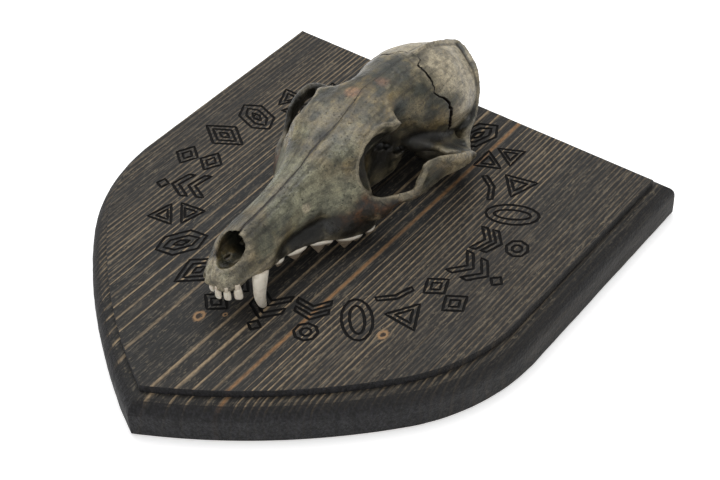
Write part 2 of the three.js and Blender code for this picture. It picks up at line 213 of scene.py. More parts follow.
# Outlines of the marks, in millimetres from a mark's middle, the second number outward
MARK_SHAPES = [
    [ngon(4, 6.6, 10.2), ngon(4, 4, 6.6), ngon(4, 1.5, 2.8)],
    [ngon(3, 7.6, 7.6, 2.6), ngon(3, 3.9, 3.9, 2.4), chevron(-10.4, 1.8, 7, 1.9)],
    [chevron(-10.2, 5, 6.4, 2.8), chevron(-3.6, 5, 6.4, 2.8), ngon(4, 2.6, 2.4, 8)],
    [ngon(6, 6.2, 10), ngon(6, 3.3, 7), ngon(4, 1.4, 3.4)],
    [leaf(5.6, 10.2), leaf(2.7, 7)],
    [ngon(4, 5.6, 4.8, 5.5), ngon(4, 2.6, 2.2, 5.5),
     ngon(4, 5.6, 4.8, -5.5), ngon(4, 2.6, 2.2, -5.5)],
    [ngon(3, 6.8, 6, -5, math.pi), ngon(3, 3.4, 3, -4.8, math.pi),
     ngon(3, 6.8, 6, 5), ngon(3, 3.4, 3, 4.8)],
    [ngon(8, 4.4, 4.2, 6.2), ngon(8, 2, 1.9, 6.2),
     chevron(-10.2, 3.6, 6.2, 2.3), chevron(-5.8, 3.6, 6.2, 2.3)],
]


def mark_loops():
    for i in range(MARKS):
        turn = math.pi / 2 - (i + 0.5) * math.tau / MARKS + MARK_TURN
        outward = Vector((math.cos(turn), math.sin(turn)))
        across = Vector((outward.y, -outward.x))
        middle = RING_CENTRE + outward * (RING_INNER + RING_OUTER) / 2
        for loop in MARK_SHAPES[(i * 3 + i // 8) % len(MARK_SHAPES)]:
            points = []
            for (x0, y0), (x1, y1) in zip(loop, loop[1:] + loop[:1]):
                pieces = max(1, round(math.hypot(x1 - x0, y1 - y0) / 1.4))
                for k in range(pieces):
                    x = x0 + (x1 - x0) * k / pieces + (carver.uniform(-HAND_SLIP, HAND_SLIP) if k else 0)
                    y = y0 + (y1 - y0) * k / pieces + (carver.uniform(-HAND_SLIP, HAND_SLIP) if k else 0)
                    points.append(middle + (across * x + outward * y) * MM)
            yield points


def groove_cutter():
    curve = bpy.data.curves.new("grooves", "CURVE")
    curve.dimensions = "3D"
    curve.bevel_depth = GROOVE
    curve.bevel_resolution = 2
    for points in mark_loops():
        spline = curve.splines.new("POLY")
        spline.points.add(len(points) - 1)
        spline.use_cyclic_u = True
        for target, point in zip(spline.points, points):
            target.co = (point.x, point.y, BOARD_TOP + 0.02 * MM, 1)
            target.radius = carver.uniform(0.88, 1.14)
    holder = bpy.data.objects.new("grooves", curve)
    bpy.context.scene.collection.objects.link(holder)
    mesh = final_mesh(holder)
    bpy.data.objects.remove(holder)
    bm = bmesh.new()
    bm.from_mesh(mesh)
    bmesh.ops.remove_doubles(bm, verts=bm.verts, dist=1e-6)
    bmesh.ops.recalc_face_normals(bm, faces=bm.faces)
    return new_object("grooves", bm)


combined(plaque, groove_cutter(), "DIFFERENCE")


def nodes_of(name):
    """Empty material with its shader: returns the material, its node tree and the shader."""
    material = bpy.data.materials.new(name)
    material.use_nodes = True
    tree = material.node_tree
    tree.nodes.clear()
    output = tree.nodes.new("ShaderNodeOutputMaterial")
    shader = tree.nodes.new("ShaderNodeBsdfPrincipled")
    tree.links.new(shader.outputs[0], output.inputs[0])
    return material, tree, shader


def node_beside(kind, *values):
    """New node in the tree of the first linked value."""
    owner = next(v for v in values if isinstance(v, bpy.types.NodeSocket))
    return owner.id_data.nodes.new("ShaderNode" + kind)


def feed(socket, value):
    """Links a node's output to a socket, or sets the socket to a plain value."""
    if isinstance(value, bpy.types.NodeSocket):
        socket.id_data.links.new(value, socket)
    else:
        socket.default_value = value


def maths(operation, a, b=0.0):
    node = node_beside("Math", a, b)
    node.operation = operation
    feed(node.inputs[0], a)
    feed(node.inputs[1], b)
    return node.outputs[0]


def times(a, b):
    return maths("MULTIPLY", a, b)


def plus(a, b):
    return maths("ADD", a, b)


def minus(a, b):
    return maths("SUBTRACT", a, b)


def spread(value, low, high, to_low=0.0, to_high=1.0):
    """Smooth step of a value from low to high."""
    node = node_beside("MapRange", value)
    node.interpolation_type = "SMOOTHSTEP"
    for index, given in enumerate((value, low, high, to_low, to_high)):
        feed(node.inputs[index], given)
    return node.outputs[0]


def blend(share, first, second, mode="MIX"):
    node = node_beside("Mix", share, first)
    node.data_type = "RGBA"
    node.blend_type = mode
    feed(node.inputs[0], share)
    feed(node.inputs[6], first)
    feed(node.inputs[7], second)
    return node.outputs[2]


def speckle(place, scale, detail=3.0, stretch=(1, 1, 1), rough=0.55):
    """Noise over place, stretched along an axis where its number is small."""
    mapping = node_beside("Mapping", place)
    mapping.inputs["Scale"].default_value = stretch
    feed(mapping.inputs[0], place)
    node = node_beside("TexNoise", place)
    node.inputs["Scale"].default_value = scale
    node.inputs["Detail"].default_value = detail
    node.inputs["Roughness"].default_value = rough
    feed(node.inputs["Vector"], mapping.outputs[0])
    return node.outputs[0]


def object_place(tree):
    return tree.nodes.new("ShaderNodeTexCoord").outputs["Object"]


def bump(height, strength, distance):
    node = node_beside("Bump", height)
    node.inputs["Strength"].default_value = strength
    node.inputs["Distance"].default_value = distance
    feed(node.inputs["Height"], height)
    return node.outputs[0]


def colour(red, green, blue):
    """Linear colour of a screen colour in steps of 255."""
    return tuple((c / 255 / 12.92 if c / 255 <= 0.04045 else ((c / 255 + 0.055) / 1.055) ** 2.4)
                 for c in (red, green, blue)) + (1.0,)


# Knots of the board: x, y and radius in millimetres
KNOTS = [(-5.8, -60, 1.5), (1.4, -54, 0.6), (53.4, -29, 1.3)]


def stained_pine():
    material, tree, shader = nodes_of("stained_pine")
    place = object_place(tree)
    split = tree.nodes.new("ShaderNodeSeparateXYZ")
    tree.links.new(place, split.inputs[0])
    x, y = (maths("DIVIDE", split.outputs[k], MM) for k in (0, 1))
    waver = minus(speckle(place, 14, 2, (1, 0.25, 1)), 0.5)
    x = plus(x, times(waver, 2.4))
    knots, eyes = 0.0, 0.0
    for knot_x, knot_y, radius in KNOTS:
        dx, dy = minus(x, knot_x), minus(y, knot_y)
        far = plus(times(dx, dx), times(times(dy, dy), 0.6))
        near = maths("EXPONENT", times(far, -1 / (2.4 * radius) ** 2))
        x = plus(x, times(times(dx, near), -0.7))
        far = plus(maths("SQRT", far), times(minus(speckle(place, 700, 2), 0.5), radius))
        ringed = times(spread(far, radius * 0.55, radius * 0.95),
                       spread(far, radius * 1.7, radius * 1.1))
        knots = maths("MAXIMUM", knots, ringed)
        eyes = maths("MAXIMUM", eyes, spread(far, radius * 0.6, radius * 0.3))
    # Growth rings of a log whose heart lies below x = -6; its outer rings are closer together
    off = plus(x, 6.2)
    out = maths("SQRT", plus(times(off, off), 400))
    ring = plus(times(out, 0.25), times(maths("MAXIMUM", minus(out, 42), 0), 0.26))
    ring = plus(ring, times(speckle(place, 110, 2, (1, 0.04, 1)), 0.9))
    share = maths("FRACT", ring)
    wide = spread(out, 38, 52, 0.1, 0.2)
    line = times(spread(share, 0, times(wide, 0.5)),
                 spread(share, times(wide, 2.4), times(wide, 0.7)))
    bright = speckle(place, 110, 1, (1, 0.02, 0.1))
    fade = spread(maths("ABSOLUTE", plus(x, 2)), 44, 74, 1, 0.3)
    strong = times(spread(bright, 0.34, 0.6, 0.35, 1), fade)
    broad = spread(maths("ABSOLUTE", minus(x, 26.6)), 1.3, 0.3)
    fibre = speckle(place, 1300, 3, (1, 0.06, 0.5))
    fleck = speckle(place, 1500, 2, (1, 0.3, 1))
    streak = speckle(place, 420, 4, (1, 0.05, 0.4))
    cloud = speckle(place, 26, 3, (1, 0.5, 1))
    line = maths("MAXIMUM", times(line, strong), times(broad, 0.8))
    line = times(line, times(spread(streak, 0.28, 0.55, 0.55, 1), spread(fleck, 0.3, 0.6, 0.5, 1)))
    base = blend(spread(cloud, 0.38, 0.66), colour(53, 53, 52), colour(62, 58, 53))
    base = blend(spread(streak, 0.36, 0.66, 0.65, 0), base, colour(31, 30, 29))
    base = blend(spread(fibre, 0.4, 0.66, 0.75, 0), base, colour(24, 23, 22))
    base = blend(spread(fibre, 0.54, 0.74, 0, 0.8), base, colour(98, 90, 77))
    base = blend(times(spread(fleck, 0.56, 0.7, 0, 0.5), spread(streak, 0.4, 0.6, 0.4, 1)),
                 base, colour(122, 112, 94))
    base = blend(spread(fleck, 0.44, 0.3, 0, 0.6), base, colour(26, 26, 27))
    base = blend(line, base, blend(broad, colour(162, 141, 112), colour(150, 112, 74)))
    base = blend(knots, base, colour(150, 118, 84))
    base = blend(eyes, base, colour(52, 36, 24))
    normal = tree.nodes.new("ShaderNodeSeparateXYZ")
    tree.links.new(tree.nodes.new("ShaderNodeNewGeometry").outputs["Normal"], normal.inputs[0])
    end = spread(maths("ABSOLUTE", normal.outputs[1]), 0.25, 0.75)
    under = spread(normal.outputs[2], -0.8, -0.97)
    rim = minus(spread(normal.outputs[2], 0.97, 0.8), under)
    base = blend(times(rim, 0.76), base, colour(23, 22, 23))
    base = blend(times(under, spread(streak, 0.3, 0.7, 0.35, 0.75)), base, colour(128, 106, 80))
    end_grain = speckle(place, 1100, 4, (1, 1, 0.5))
    base = blend(times(end, 0.9), base,
                 blend(spread(end_grain, 0.38, 0.68), colour(8, 8, 9), colour(36, 35, 39)))
    feed(shader.inputs["Base Color"], base)
    feed(shader.inputs["Roughness"], spread(streak, 0.2, 0.8, 0.6, 0.78))
    shader.inputs["Specular IOR Level"].default_value = 0.35
    relief = plus(times(fibre, 1.4), times(line, 0.7))
    relief = plus(relief, times(times(end_grain, rim), 3))
    feed(shader.inputs["Normal"], bump(relief, 0.7, 0.0004))
    return material


def burnt_groove():
    material, tree, shader = nodes_of("burnt_groove")
    place = object_place(tree)
    rough = speckle(place, 900, 3)
    feed(shader.inputs["Base Color"], blend(rough, colour(7, 7, 7), colour(20, 18, 17)))
    shader.inputs["Roughness"].default_value = 0.85
    shader.inputs["Specular IOR Level"].default_value = 0.25
    feed(shader.inputs["Normal"], bump(rough, 0.5, 0.0004))
    return material


plaque.data.materials.clear()
plaque.data.materials.append(stained_pine())
plaque.data.materials.append(burnt_groove())
for face in plaque.data.polygons:
    middle = face.center
    carved = middle.z > BOARD_TOP - 1.2 * MM and middle.z < BOARD_TOP - 0.02 * MM
    near = (Vector((middle.x, middle.y)) - RING_CENTRE).length
    face.material_index = int(carved and RING_INNER - 2 * MM < near < RING_OUTER + 2 * MM
                              and abs(face.normal.z) < 0.999)
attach(plaque, "root")
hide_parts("plaque")

# The bones of the skull: a dry fox cranium, weathered to an olive grey. One thick skin is made
# from tubes and balls, hollowed, given its ridges, pits and seams, and then parted into bones
# along its seams. Lengths are in millimetres: s back from the teeth, w to the left, h up.
JAW_FRONT = Vector((1.2, -57.6, 36.2)) * MM
NOSE_LIFT = math.radians(7.5)
SKULL_TURN = math.radians(1.6)
SKULL_LENGTH = 150
skull_place = (Matrix.Translation(JAW_FRONT) @ Matrix.Rotation(SKULL_TURN, 4, "Z")
               @ Matrix.Rotation(-NOSE_LIFT, 4, "X") @ Matrix.Scale(MM, 4))


def at(s, w, h):
    return Vector((w, s, h))


def along(*pairs):
    """Monotone cubic curve through (position, value) pairs."""
    xs = [x for x, _ in pairs]
    ys = [y for _, y in pairs]
    last = len(pairs) - 1
    slopes = [(ys[i + 1] - ys[i]) / (xs[i + 1] - xs[i]) for i in range(last)]
    tangents = [slopes[0]]
    for a, b in zip(slopes, slopes[1:]):
        tangents.append(0 if a * b <= 0 else 2 * a * b / (a + b))
    tangents.append(slopes[-1])

    def value(x):
        if x <= xs[0] or x >= xs[-1]:
            return ys[0] if x <= xs[0] else ys[-1]
        i = max(k for k in range(last) if xs[k] <= x)
        span = xs[i + 1] - xs[i]
        t = (x - xs[i]) / span
        u = 1 - t
        return ((1 + 2 * t) * u * u * ys[i] + t * u * u * span * tangents[i]
                + t * t * (3 - 2 * t) * ys[i + 1] - t * t * u * span * tangents[i + 1])
    return value


def smooth_point(keys, t, closed=False):
    """Point of a centripetal spline through keys, t from 0 to 1."""
    count = len(keys)
    place = t * (count if closed else count - 1)
    i = min(int(place), count - (1 if closed else 2))
    u = place - i

    def key(k):
        if closed:
            return keys[k % count]
        if k < 0:
            return keys[0] * 2 - keys[1]
        return keys[k] if k < count else keys[-1] * 2 - keys[-2]
    a, b, c, d = (key(i + k) for k in (-1, 0, 1, 2))
    gap1 = math.sqrt((c - b).length) or 1.0
    gap0 = math.sqrt((b - a).length) or gap1
    gap2 = math.sqrt((d - c).length) or gap1
    t1 = ((b - a) / gap0 - (c - a) / (gap0 + gap1) + (c - b) / gap1) * gap1
    t2 = ((c - b) / gap1 - (d - b) / (gap1 + gap2) + (d - c) / gap2) * gap1
    return b + t1 * u + (-3 * b + 3 * c - 2 * t1 - t2) * u * u + (2 * b - 2 * c + t1 + t2) * u ** 3


crown_height = along((0, 2.6), (3, 4.8), (6, 7.4), (9.5, 12), (13.7, 15.8), (22, 17.4), (34, 20.2),
                     (42, 22.8), (57, 29.7), (66, 32.8), (79, 37.6), (95, 40.2), (112, 40.8), (120, 40),
                     (128, 39.2), (134, 37.4), (140, 35.2), (146, 32.6), (SKULL_LENGTH, 30.6))
brow_half = along((0, 2.2), (6, 4.1), (14, 5.9), (24, 6.4), (34, 6.2), (45, 7), (55, 9.8), (61, 13.2),
                  (66, 15), (72, 15.1), (78, 16.2), (83.5, 18.9), (86.5, 14.6), (90, 11.2), (96, 10.4),
                  (106, 11.6), (118, 12.2), (130, 12), (141, 10.6), (SKULL_LENGTH, 5))
brow_height = along((0, 1.8), (6, 6.2), (14, 13), (24, 14.8), (34, 17.2), (45, 20.8), (55, 25),
                    (61, 27.6), (66, 30.6), (72, 33), (78, 33.6), (83.5, 32.8), (88, 35.2), (96, 36.6),
                    (112, 37.2), (120, 36.9), (128, 35), (134, 32.7), (140, 30), (SKULL_LENGTH, 27.6))
wall_half = along((0, 2.9), (3, 5.3), (6, 6.5), (14, 8.9), (22, 8.9), (35, 9.2), (45, 11), (54, 15),
                  (60, 18.2), (65, 19), (70, 14.5), (76, 9.4), (85, 8.8), (91, 10), (97, 13.4),
                  (105, 18.2), (115, 21.8), (123, 22.4), (133, 20.6), (141, 16.6), (SKULL_LENGTH, 7))
wall_height = along((0, 1.3), (14, 8), (45, 11.4), (56, 15), (62, 18), (70, 18), (85, 20), (97, 22),
                    (115, 23), (133, 20), (SKULL_LENGTH, 26))
gum_half = along((0, 3.6), (3, 6.8), (9, 9.2), (15, 11), (20, 10.3), (26, 9.8), (35, 11.2), (45, 13.6),
                 (52, 16.8), (58, 19.4), (66, 21), (71, 19.4), (75.5, 13), (79, 9.6), (92, 8.6),
                 (99, 8.2), (104, 10.5), (112, 15), (124, 17.5), (134, 16), (142, 12), (SKULL_LENGTH, 5))
gum_height = along((0, -2), (3, -1.8), (5.5, -1.3), (8, 0.4), (12, 2), (17, 1.4), (24, 0), (32, 0),
                   (43, -1), (50, -2.4), (56, -3.4), (62, -4), (69, -3.6), (75, -0.6), (80, 1.2),
                   (97, 0), (101, 6), (110, 8), (134, 7.6), (142, 10), (SKULL_LENGTH, 25))
roof_height = along((0, -1), (5, 0.2), (10, 2.4), (30, 3.2), (60, 1.2), (72, 0.8), (80, 1.3), (97, 0.2),
                    (101, 7.6), (112, 9), (134, 7.6), (142, 9.4), (SKULL_LENGTH, 24))
# Cheek bar: s, w, h of its middle line, half-height, half-thickness and lean in degrees
CHEEK = [(56, 13.5, 7.6, 5, 2.6, 8), (61, 19, 7.2, 5.6, 2.4, 8), (66, 23.6, 6.8, 4.8, 2, 8),
         (71, 27, 9.2, 2.2, 1.8, 8), (77, 29.9, 9.2, 1.8, 1.7, 8), (80, 31, 10, 2.2, 1.6, 8),
         (82.2, 31.7, 12.4, 4.2, 1.4, 8), (84.6, 32.4, 15.4, 5.8, 1.4, 8), (90, 33.6, 16.4, 5, 1.5, 8),
         (97, 35, 15.4, 3.9, 1.6, 8), (104, 35, 13.3, 3, 1.8, 4), (109.6, 33.6, 10.8, 2.6, 1.8, 0),
         (113.6, 31.8, 8.9, 2, 1.6, 0), (115.8, 29.6, 8.2, 1.4, 1.4, 0)]
# Shelf from the braincase out to the arch: s, w, h, half-length, half-thickness and slope in degrees
SHELF = [(110, 12, 13.6, 12.4, 3.6, 0), (110.4, 18, 12.4, 10.8, 2.8, 8), (110, 22, 11.4, 9.4, 2, 16),
         (109, 26, 11.7, 8.8, 1.6, 22), (107.6, 29.6, 12.7, 8.8, 1.5, 22), (106.6, 33, 13.4, 8, 1.3, 22)]


def cranium_core():
    steps, sides = 150, 60
    rings = []
    for k in range(steps + 1):
        s = SKULL_LENGTH * k / steps
        half = [at(s, brow_half(s), brow_height(s)), at(s, wall_half(s), wall_height(s)),
                at(s, gum_half(s), gum_height(s)), at(s, gum_half(s) * 0.78, gum_height(s))]
        keys = [at(s, 0, crown_height(s)), *half, at(s, 0, roof_height(s)),
                *[at(s, -p.x, p.z) for p in reversed(half)]]
        rings.append([smooth_point(keys, i / sides, closed=True) for i in range(sides)])
    return tube(lambda row, column: rings[row][column], steps, sides)


def bar(path, reach, steps, sides=16, square=1.0, upward=None):
    """Bar along a smooth path; reach(t) gives its half-thickness, half-height and lean; upward gives
    the way its height points, if that isn't straight up."""
    rings = []
    for k in range(steps + 1):
        t = k / steps
        centre = smooth_point(path, t)
        ahead = (smooth_point(path, min(1, t + 0.002)) - smooth_point(path, max(0, t - 0.002))).normalized()
        out = ahead.cross(Vector((0, 0, 1))).normalized()
        if upward:
            out = ahead.cross(upward(centre)).normalized()
        up = out.cross(ahead).normalized()
        thick, tall, lean = reach(t)
        ring = []
        for i in range(sides):
            turn = math.tau * i / sides
            side, rise = (math.copysign(abs(share) ** square, share) * size
                          for share, size in ((math.cos(turn), thick), (math.sin(turn), tall)))
            ring.append(centre + out * (side * math.cos(lean) - rise * math.sin(lean))
                        + up * (side * math.sin(lean) + rise * math.cos(lean)))
        rings.append(ring)
    return tube(lambda row, column: rings[row][column], steps, sides)


def raised(s, w, side):
    """How much higher the right arch stands than the left one."""
    return 3.8 * math.exp(-((s - 101) / 13) ** 2) * min(1, max(0, (w - 18) / 12)) if side < 0 else 0


def cheek_bar(side):
    share = [i / (len(CHEEK) - 1) for i in range(len(CHEEK))]
    tall, thick, lean = (along(*[(t, row[k]) for t, row in zip(share, CHEEK)]) for k in (3, 4, 5))
    path = []
    for s, w, h, *_ in CHEEK:
        path.append(at(s, w * side, h + raised(s, w, side)))
    return bar(path, lambda t: (thick(t), tall(t), math.radians(lean(t)) * side), 90, 20)


def shelf(side):
    share = [i / (len(SHELF) - 1) for i in range(len(SHELF))]
    long, thick, lean = (along(*[(t, row[k]) for t, row in zip(share, SHELF)]) for k in (3, 4, 5))
    return bar([at(s, w * side, h + raised(s, w, side)) for s, w, h, *_ in SHELF],
               lambda t: (long(t), thick(t), math.radians(lean(t)) * side), 30, 32, 0.5)


def ball(centre, radii):
    """Ball at s, w, h with its half-breadth, half-length and half-height."""
    bm = bmesh.new()
    bmesh.ops.create_uvsphere(bm, u_segments=32, v_segments=20, radius=1,
                              matrix=Matrix.Translation(at(*centre)) @ Matrix.Diagonal((*radii, 1)))
    return bm


def channel(rows, sides=24):
    """Egg-shaped tube along the skull: rows of s, half-breadth, lowest and highest h."""
    def place(row, column):
        s, half, low, high = rows[row]
        turn = math.tau * column / sides
        return at(s, half * math.cos(turn), (low + high) / 2 + (high - low) / 2 * math.sin(turn))
    return tube(place, len(rows) - 1, sides)


def joined(name, forms):
    bm = bmesh.new()
    for form in forms:
        mesh = bpy.data.meshes.new("form")
        form.to_mesh(mesh)
        form.free()
        bm.from_mesh(mesh)
        bpy.data.meshes.remove(mesh)
    return new_object(name, bm)


def crest_rim():
    ridge = [(146.4, 8, 28.8), (144.2, 12, 26.8), (140.8, 16, 23), (137, 18.8, 19.6), (134, 20.6, 15),
             (131.8, 21.4, 9.6)]
    path = [at(s, -w, h) for s, w, h in reversed(ridge)] + [at(149.6, 0, 30.6)] + [at(*p) for p in ridge]
    return bar(path, lambda t: (0.85, 2 - 0.9 * abs(2 * t - 1) ** 4, 0), 80, 16,
               upward=lambda p: Vector((p.x, 9, p.z - 16)))


def bosses(side):
    return [
        bar([at(74, 10.5 * side, 33), at(79, 14 * side, 34), at(84.8, 19 * side, 32.5)],
            lambda t: (5 - 4.3 * t, 1.5 - 0.9 * t, 0), 16, 16),
        ball((139.8, 7.8 * side, 10.2), (4.4, 4.4, 6)),
        ball((118, 12.5 * side, 6.2), (7.4, 11, 8.2)),
        ball((127.6, 20 * side, 9.4), (2.4, 5, 5.6)),
        bar([at(131, 14.5 * side, 13), at(132, 15.6 * side, 6), at(132.6, 16.2 * side, 0.4)],
            lambda t: (2.6 - 1.4 * t, 2.6 - 1.6 * t, 0), 8, 12),
        ball((117.2, 24.6 * side, 5.2), (4.6, 1.7, 4.2)),
        bar([at(114.6, 29.6 * side, 8.6), at(118.6, 26.6 * side, 10.2), at(124, 23.6 * side, 11.6),
             at(131, 21 * side, 12.4), at(135, 19 * side, 13)], lambda t: (1, 2.4 - 0.9 * t, 0), 30, 16,
            upward=lambda p: Vector((p.x, 0, 3))),
    ]


# The sockets of two lost incisors are cut on the right; on the left this place clear of the bone
NO_SOCKET = (90, 60, 60)


def hollows(side):
    return [
        ball((73, 22.4 * side, 21.6), (13.4, 12.6, 11.4)),
        ball((121.6, 22.6 * side, 7.2), (3.4, 2.4, 2.3)),
        bar([at(45, 15.6 * side, 7), at(50, 13.6 * side, 8.6), at(58, 13.4 * side, 9.6)],
            lambda t: (1.5, 2.7 - 0.6 * t, 0), 10, 14),
        ball((84.2, 8.8 * side, 18), (2, 1.7, 1.1)),
        ball((87.4, 8.8 * side, 16.9), (2.6, 2.4, 1.9)),
        ball((90.6, 9.4 * side, 15.2), (2.3, 1.9, 1.3)),
        ball((95.8, 11.2 * side, 12), (3, 2.8, 2)),
        bar([at(62.6, 14.8 * side, 21.6), at(64.4, 13.6 * side, 19.6), at(66.6, 12 * side, 18)],
            lambda t: (0.7, 1.3, 0), 8, 12),
        ball((76, 7.4 * side, 4.6), (3, 2.2, 1.6)),
        ball((11, 2.5 * side, 2.2), (1.1, 3.4, 2.6)),
        ball((104.5, 9 * side, 6), (1.6, 2, 3)),
        ball((127.6, 9.6 * side, 6.4), (1.4, 1.8, 2.4)),
        ball((134.5, 9.4 * side, 6.6), (1, 1.4, 2)),
        ball((2.2, 4.6 * side, -0.4) if side < 0 else NO_SOCKET, (1.2, 1.2, 1.9)),
        ball((5.4, 6.6 * side, -0.2) if side < 0 else NO_SOCKET, (1.3, 1.6, 2.2)),
    ]


SIDES = (1, -1)
VOXEL_COARSE = 0.7
VOXEL_FINE = 0.5


def remeshed(obj, voxel):
    applied(obj, "REMESH", mode="VOXEL", voxel_size=voxel, adaptivity=0)


middle_crest = bar([at(106, 0, 38.6), at(118, 0, 39.4), at(128, 0, 38.8),
                    at(139, 0, 35.6), at(149.8, 0, 30.4)],
                   lambda t: (0.85, 1.7, 0), 40, 12)
skull = joined("skull", [cranium_core(), crest_rim(), middle_crest]
               + [form for side in SIDES for form in [cheek_bar(side), shelf(side), *bosses(side)]])
remeshed(skull, VOXEL_COARSE)


def rows_of(items, name, width, kind=float):
    """One row of values for each item of a mesh."""
    values = np.empty(len(items) * width, kind)
    items.foreach_get(name, values)
    return values.reshape(-1, width)


def points_of(mesh):
    return rows_of(mesh.vertices, "co", 3)


def edges_of(mesh):
    return rows_of(mesh.edges, "vertices", 2, int)


def normals_of(mesh):
    return rows_of(mesh.vertex_normals, "vector", 3)


def moved(mesh, co):
    mesh.vertices.foreach_set("co", co.ravel())
    mesh.update()


def neighbour_mean(values, edges):
    count = len(values)
    a, b = edges[:, 0], edges[:, 1]
    degree = np.bincount(a, minlength=count) + np.bincount(b, minlength=count)
    total = [np.bincount(a, values[b, k], count) + np.bincount(b, values[a, k], count)
             for k in range(values.shape[1])]
    return np.stack(total, 1) / np.maximum(degree, 1)[:, None]


def relax(mesh, rounds):
    """Takes out the steps of the remesh without shrinking the form."""
    co, edges = points_of(mesh), edges_of(mesh)
    for _ in range(rounds):
        for weight in (0.6, -0.62):
            co = co + weight * (neighbour_mean(co, edges) - co)
    moved(mesh, co)


relax(skull.data, 12)
for side in SIDES:
    for hollow in hollows(side):
        combined(skull, new_object("hollow", hollow), "DIFFERENCE")
nose_cavity = channel([(-4, 2.2, 7, 13), (0, 3, 6, 13.6), (3, 3.9, 4.9, 14.2), (6, 4.8, 4.1, 14.8),
                       (9, 5.3, 3.9, 15.1), (12, 5.4, 4.1, 15.2), (16, 5.4, 4.4, 15.2),
                       (26, 4.8, 4.6, 14.8), (40, 3.6, 6.6, 13.6)])
throat = channel([(73.4, 4.4, -5, 5), (76, 6, -7, 7.6), (90, 6.2, -7, 8), (104, 6, -6, 7.6)])
spine_hole = ball((147, 0, 15), (6.8, 9, 5.8))
for hollow in (nose_cavity, throat, spine_hole):
    combined(skull, new_object("hollow", hollow), "DIFFERENCE")
remeshed(skull, VOXEL_FINE)
relax(skull.data, 3)


def push(co, s, w, h, reach, by):
    """Moves the skin round a point by (s, w, h), fading over its reach in s, w and h."""
    far = (((co[:, 1] - s) / reach[0]) ** 2 + ((co[:, 0] - w) / reach[1]) ** 2
           + ((co[:, 2] - h) / reach[2]) ** 2)
    co += np.exp(-far)[:, None] * np.array((by[1], by[0], by[2]))


# Swellings and hollows of the left side, each also made on the right: place, reach, move
FORMS = [
    ((19, 10.4, 4.4), (4.5, 4, 4.2), (0, 1, 0.2)),
    ((25, 9.8, 8.4), (4, 4, 3.4), (0, 0.5, 0.3)),
    ((33, 9.5, 4.6), (7, 5, 3), (0, -1.5, 0)),
    ((42, 11.5, 4.6), (6, 5, 2.9), (0, -2.3, 0)),
    ((46.6, 13.8, 6), (2.6, 4, 2.8), (0, -1.5, 0)),
    ((53.5, 17.2, 3.2), (4, 4, 4), (0, 0.8, 0)),
    ((56, 15, 19), (5, 5, 5), (0, -0.5, 0)),
    ((81, 12.8, 36), (5, 3.6, 4), (0, 0, -0.9)),
    ((90, 12, 28), (5, 4, 6), (0, -0.8, 0)),
    ((13, 2.6, 15.2), (1.8, 1.5, 2), (-0.7, 0, -0.1)),
    ((12, 6, 7), (2.2, 1.6, 3.4), (-1, 0.4, 0)),
    ((9.6, 5.6, 2.6), (2.4, 1.6, 2.4), (-0.7, 0.5, 0)),
    ((58, 3, 30), (11, 2.2, 5), (0, 0, 0.25)),
    ((147, 6, 25), (4, 3.4, 3), (-1, 0, 0)),
    ((144, 12, 19), (4, 3.4, 4), (-0.9, -0.4, 0)),
]
# Spots where two forms meet too sharply: place, reach, rounds of smoothing
SOFTENED = [((108, 22, 14), 7.5, 60), ((89.5, 12, 36), 6.5, 60), ((126, 20, 9), 4, 20),
            ((136, 13, 9), 5, 20)]
sculpted = points_of(skull.data)
skull_edges = edges_of(skull.data)
for (s, w, h), reach, rounds in SOFTENED:
    for side in SIDES:
        far = np.linalg.norm(sculpted - np.array((w * side, s, h)), axis=1) / reach
        soft = np.clip(1.3 - far, 0, 1)[:, None] * 0.5
        for _ in range(rounds):
            sculpted = sculpted + soft * (neighbour_mean(sculpted, skull_edges) - sculpted)
for (s, w, h), reach, by in FORMS:
    for side in SIDES:
        push(sculpted, s, w * side, h, reach, (by[0], by[1] * side, by[2]))
push(sculpted, 60, 0, 31, (14, 2.6, 6), (0, 0, -0.7))
push(sculpted, 13.6, 0.9, 15.6, (1.2, 0.5, 1.6), (1, 0, 0))
push(sculpted, 149, 0, 26, (4, 1.1, 4), (1.1, 0, 0))

# Seams and ridges follow lines over the skin, given as s, w, h
MIDLINE = [(13.8, 0.9, 15.7), (25.4, 0.6, 18), (37.2, 0.5, 21.1), (47.6, 0.8, 25.2), (57.2, 0.6, 29.7),
           (71.9, 1.4, 35.2), (79.5, 0.9, 37.6)]
NOSE_SEAM = [(10, 8.3, 6.2), (12.5, 8.7, 7.8), (15.1, 7.7, 10.7), (16.6, 6.9, 12.5), (17.3, 5, 14.7),
             (21.7, 4.1, 16.1), (32.6, 3.8, 18.6), (45.6, 3.9, 23.3), (54.2, 4.8, 27.4)]
BROW_SEAM = [(54.2, 4.8, 27.4), (56.3, 5.4, 28.3), (58, 7.7, 28.4), (57.6, 9.9, 26.9), (57.2, 13, 23.7),
             (59.4, 14.8, 24.2)]
TEMPLE_LINE = [(83.4, 18.4, 33.2), (83.6, 15.4, 35.2), (86, 11.4, 36.9), (89.8, 8.3, 38), (95, 5.1, 39.3),
               (104, 1.8, 40.3)]
ORBIT_RIM = [(83, 18.4, 33), (78, 16.4, 34), (73.9, 15.5, 34.4), (71, 15, 32.6), (67.3, 15.5, 31.2),
             (65, 16, 28.7), (63.2, 16.5, 26.4), (61.4, 17.5, 24.3), (60.8, 18.5, 22), (60, 20, 20.4),
             (61, 21.5, 15.4), (65, 23.5, 12), (71, 27, 11.2), (77, 29.9, 10.9), (80.4, 31.2, 12.4),
             (82.6, 31.9, 17.4)]
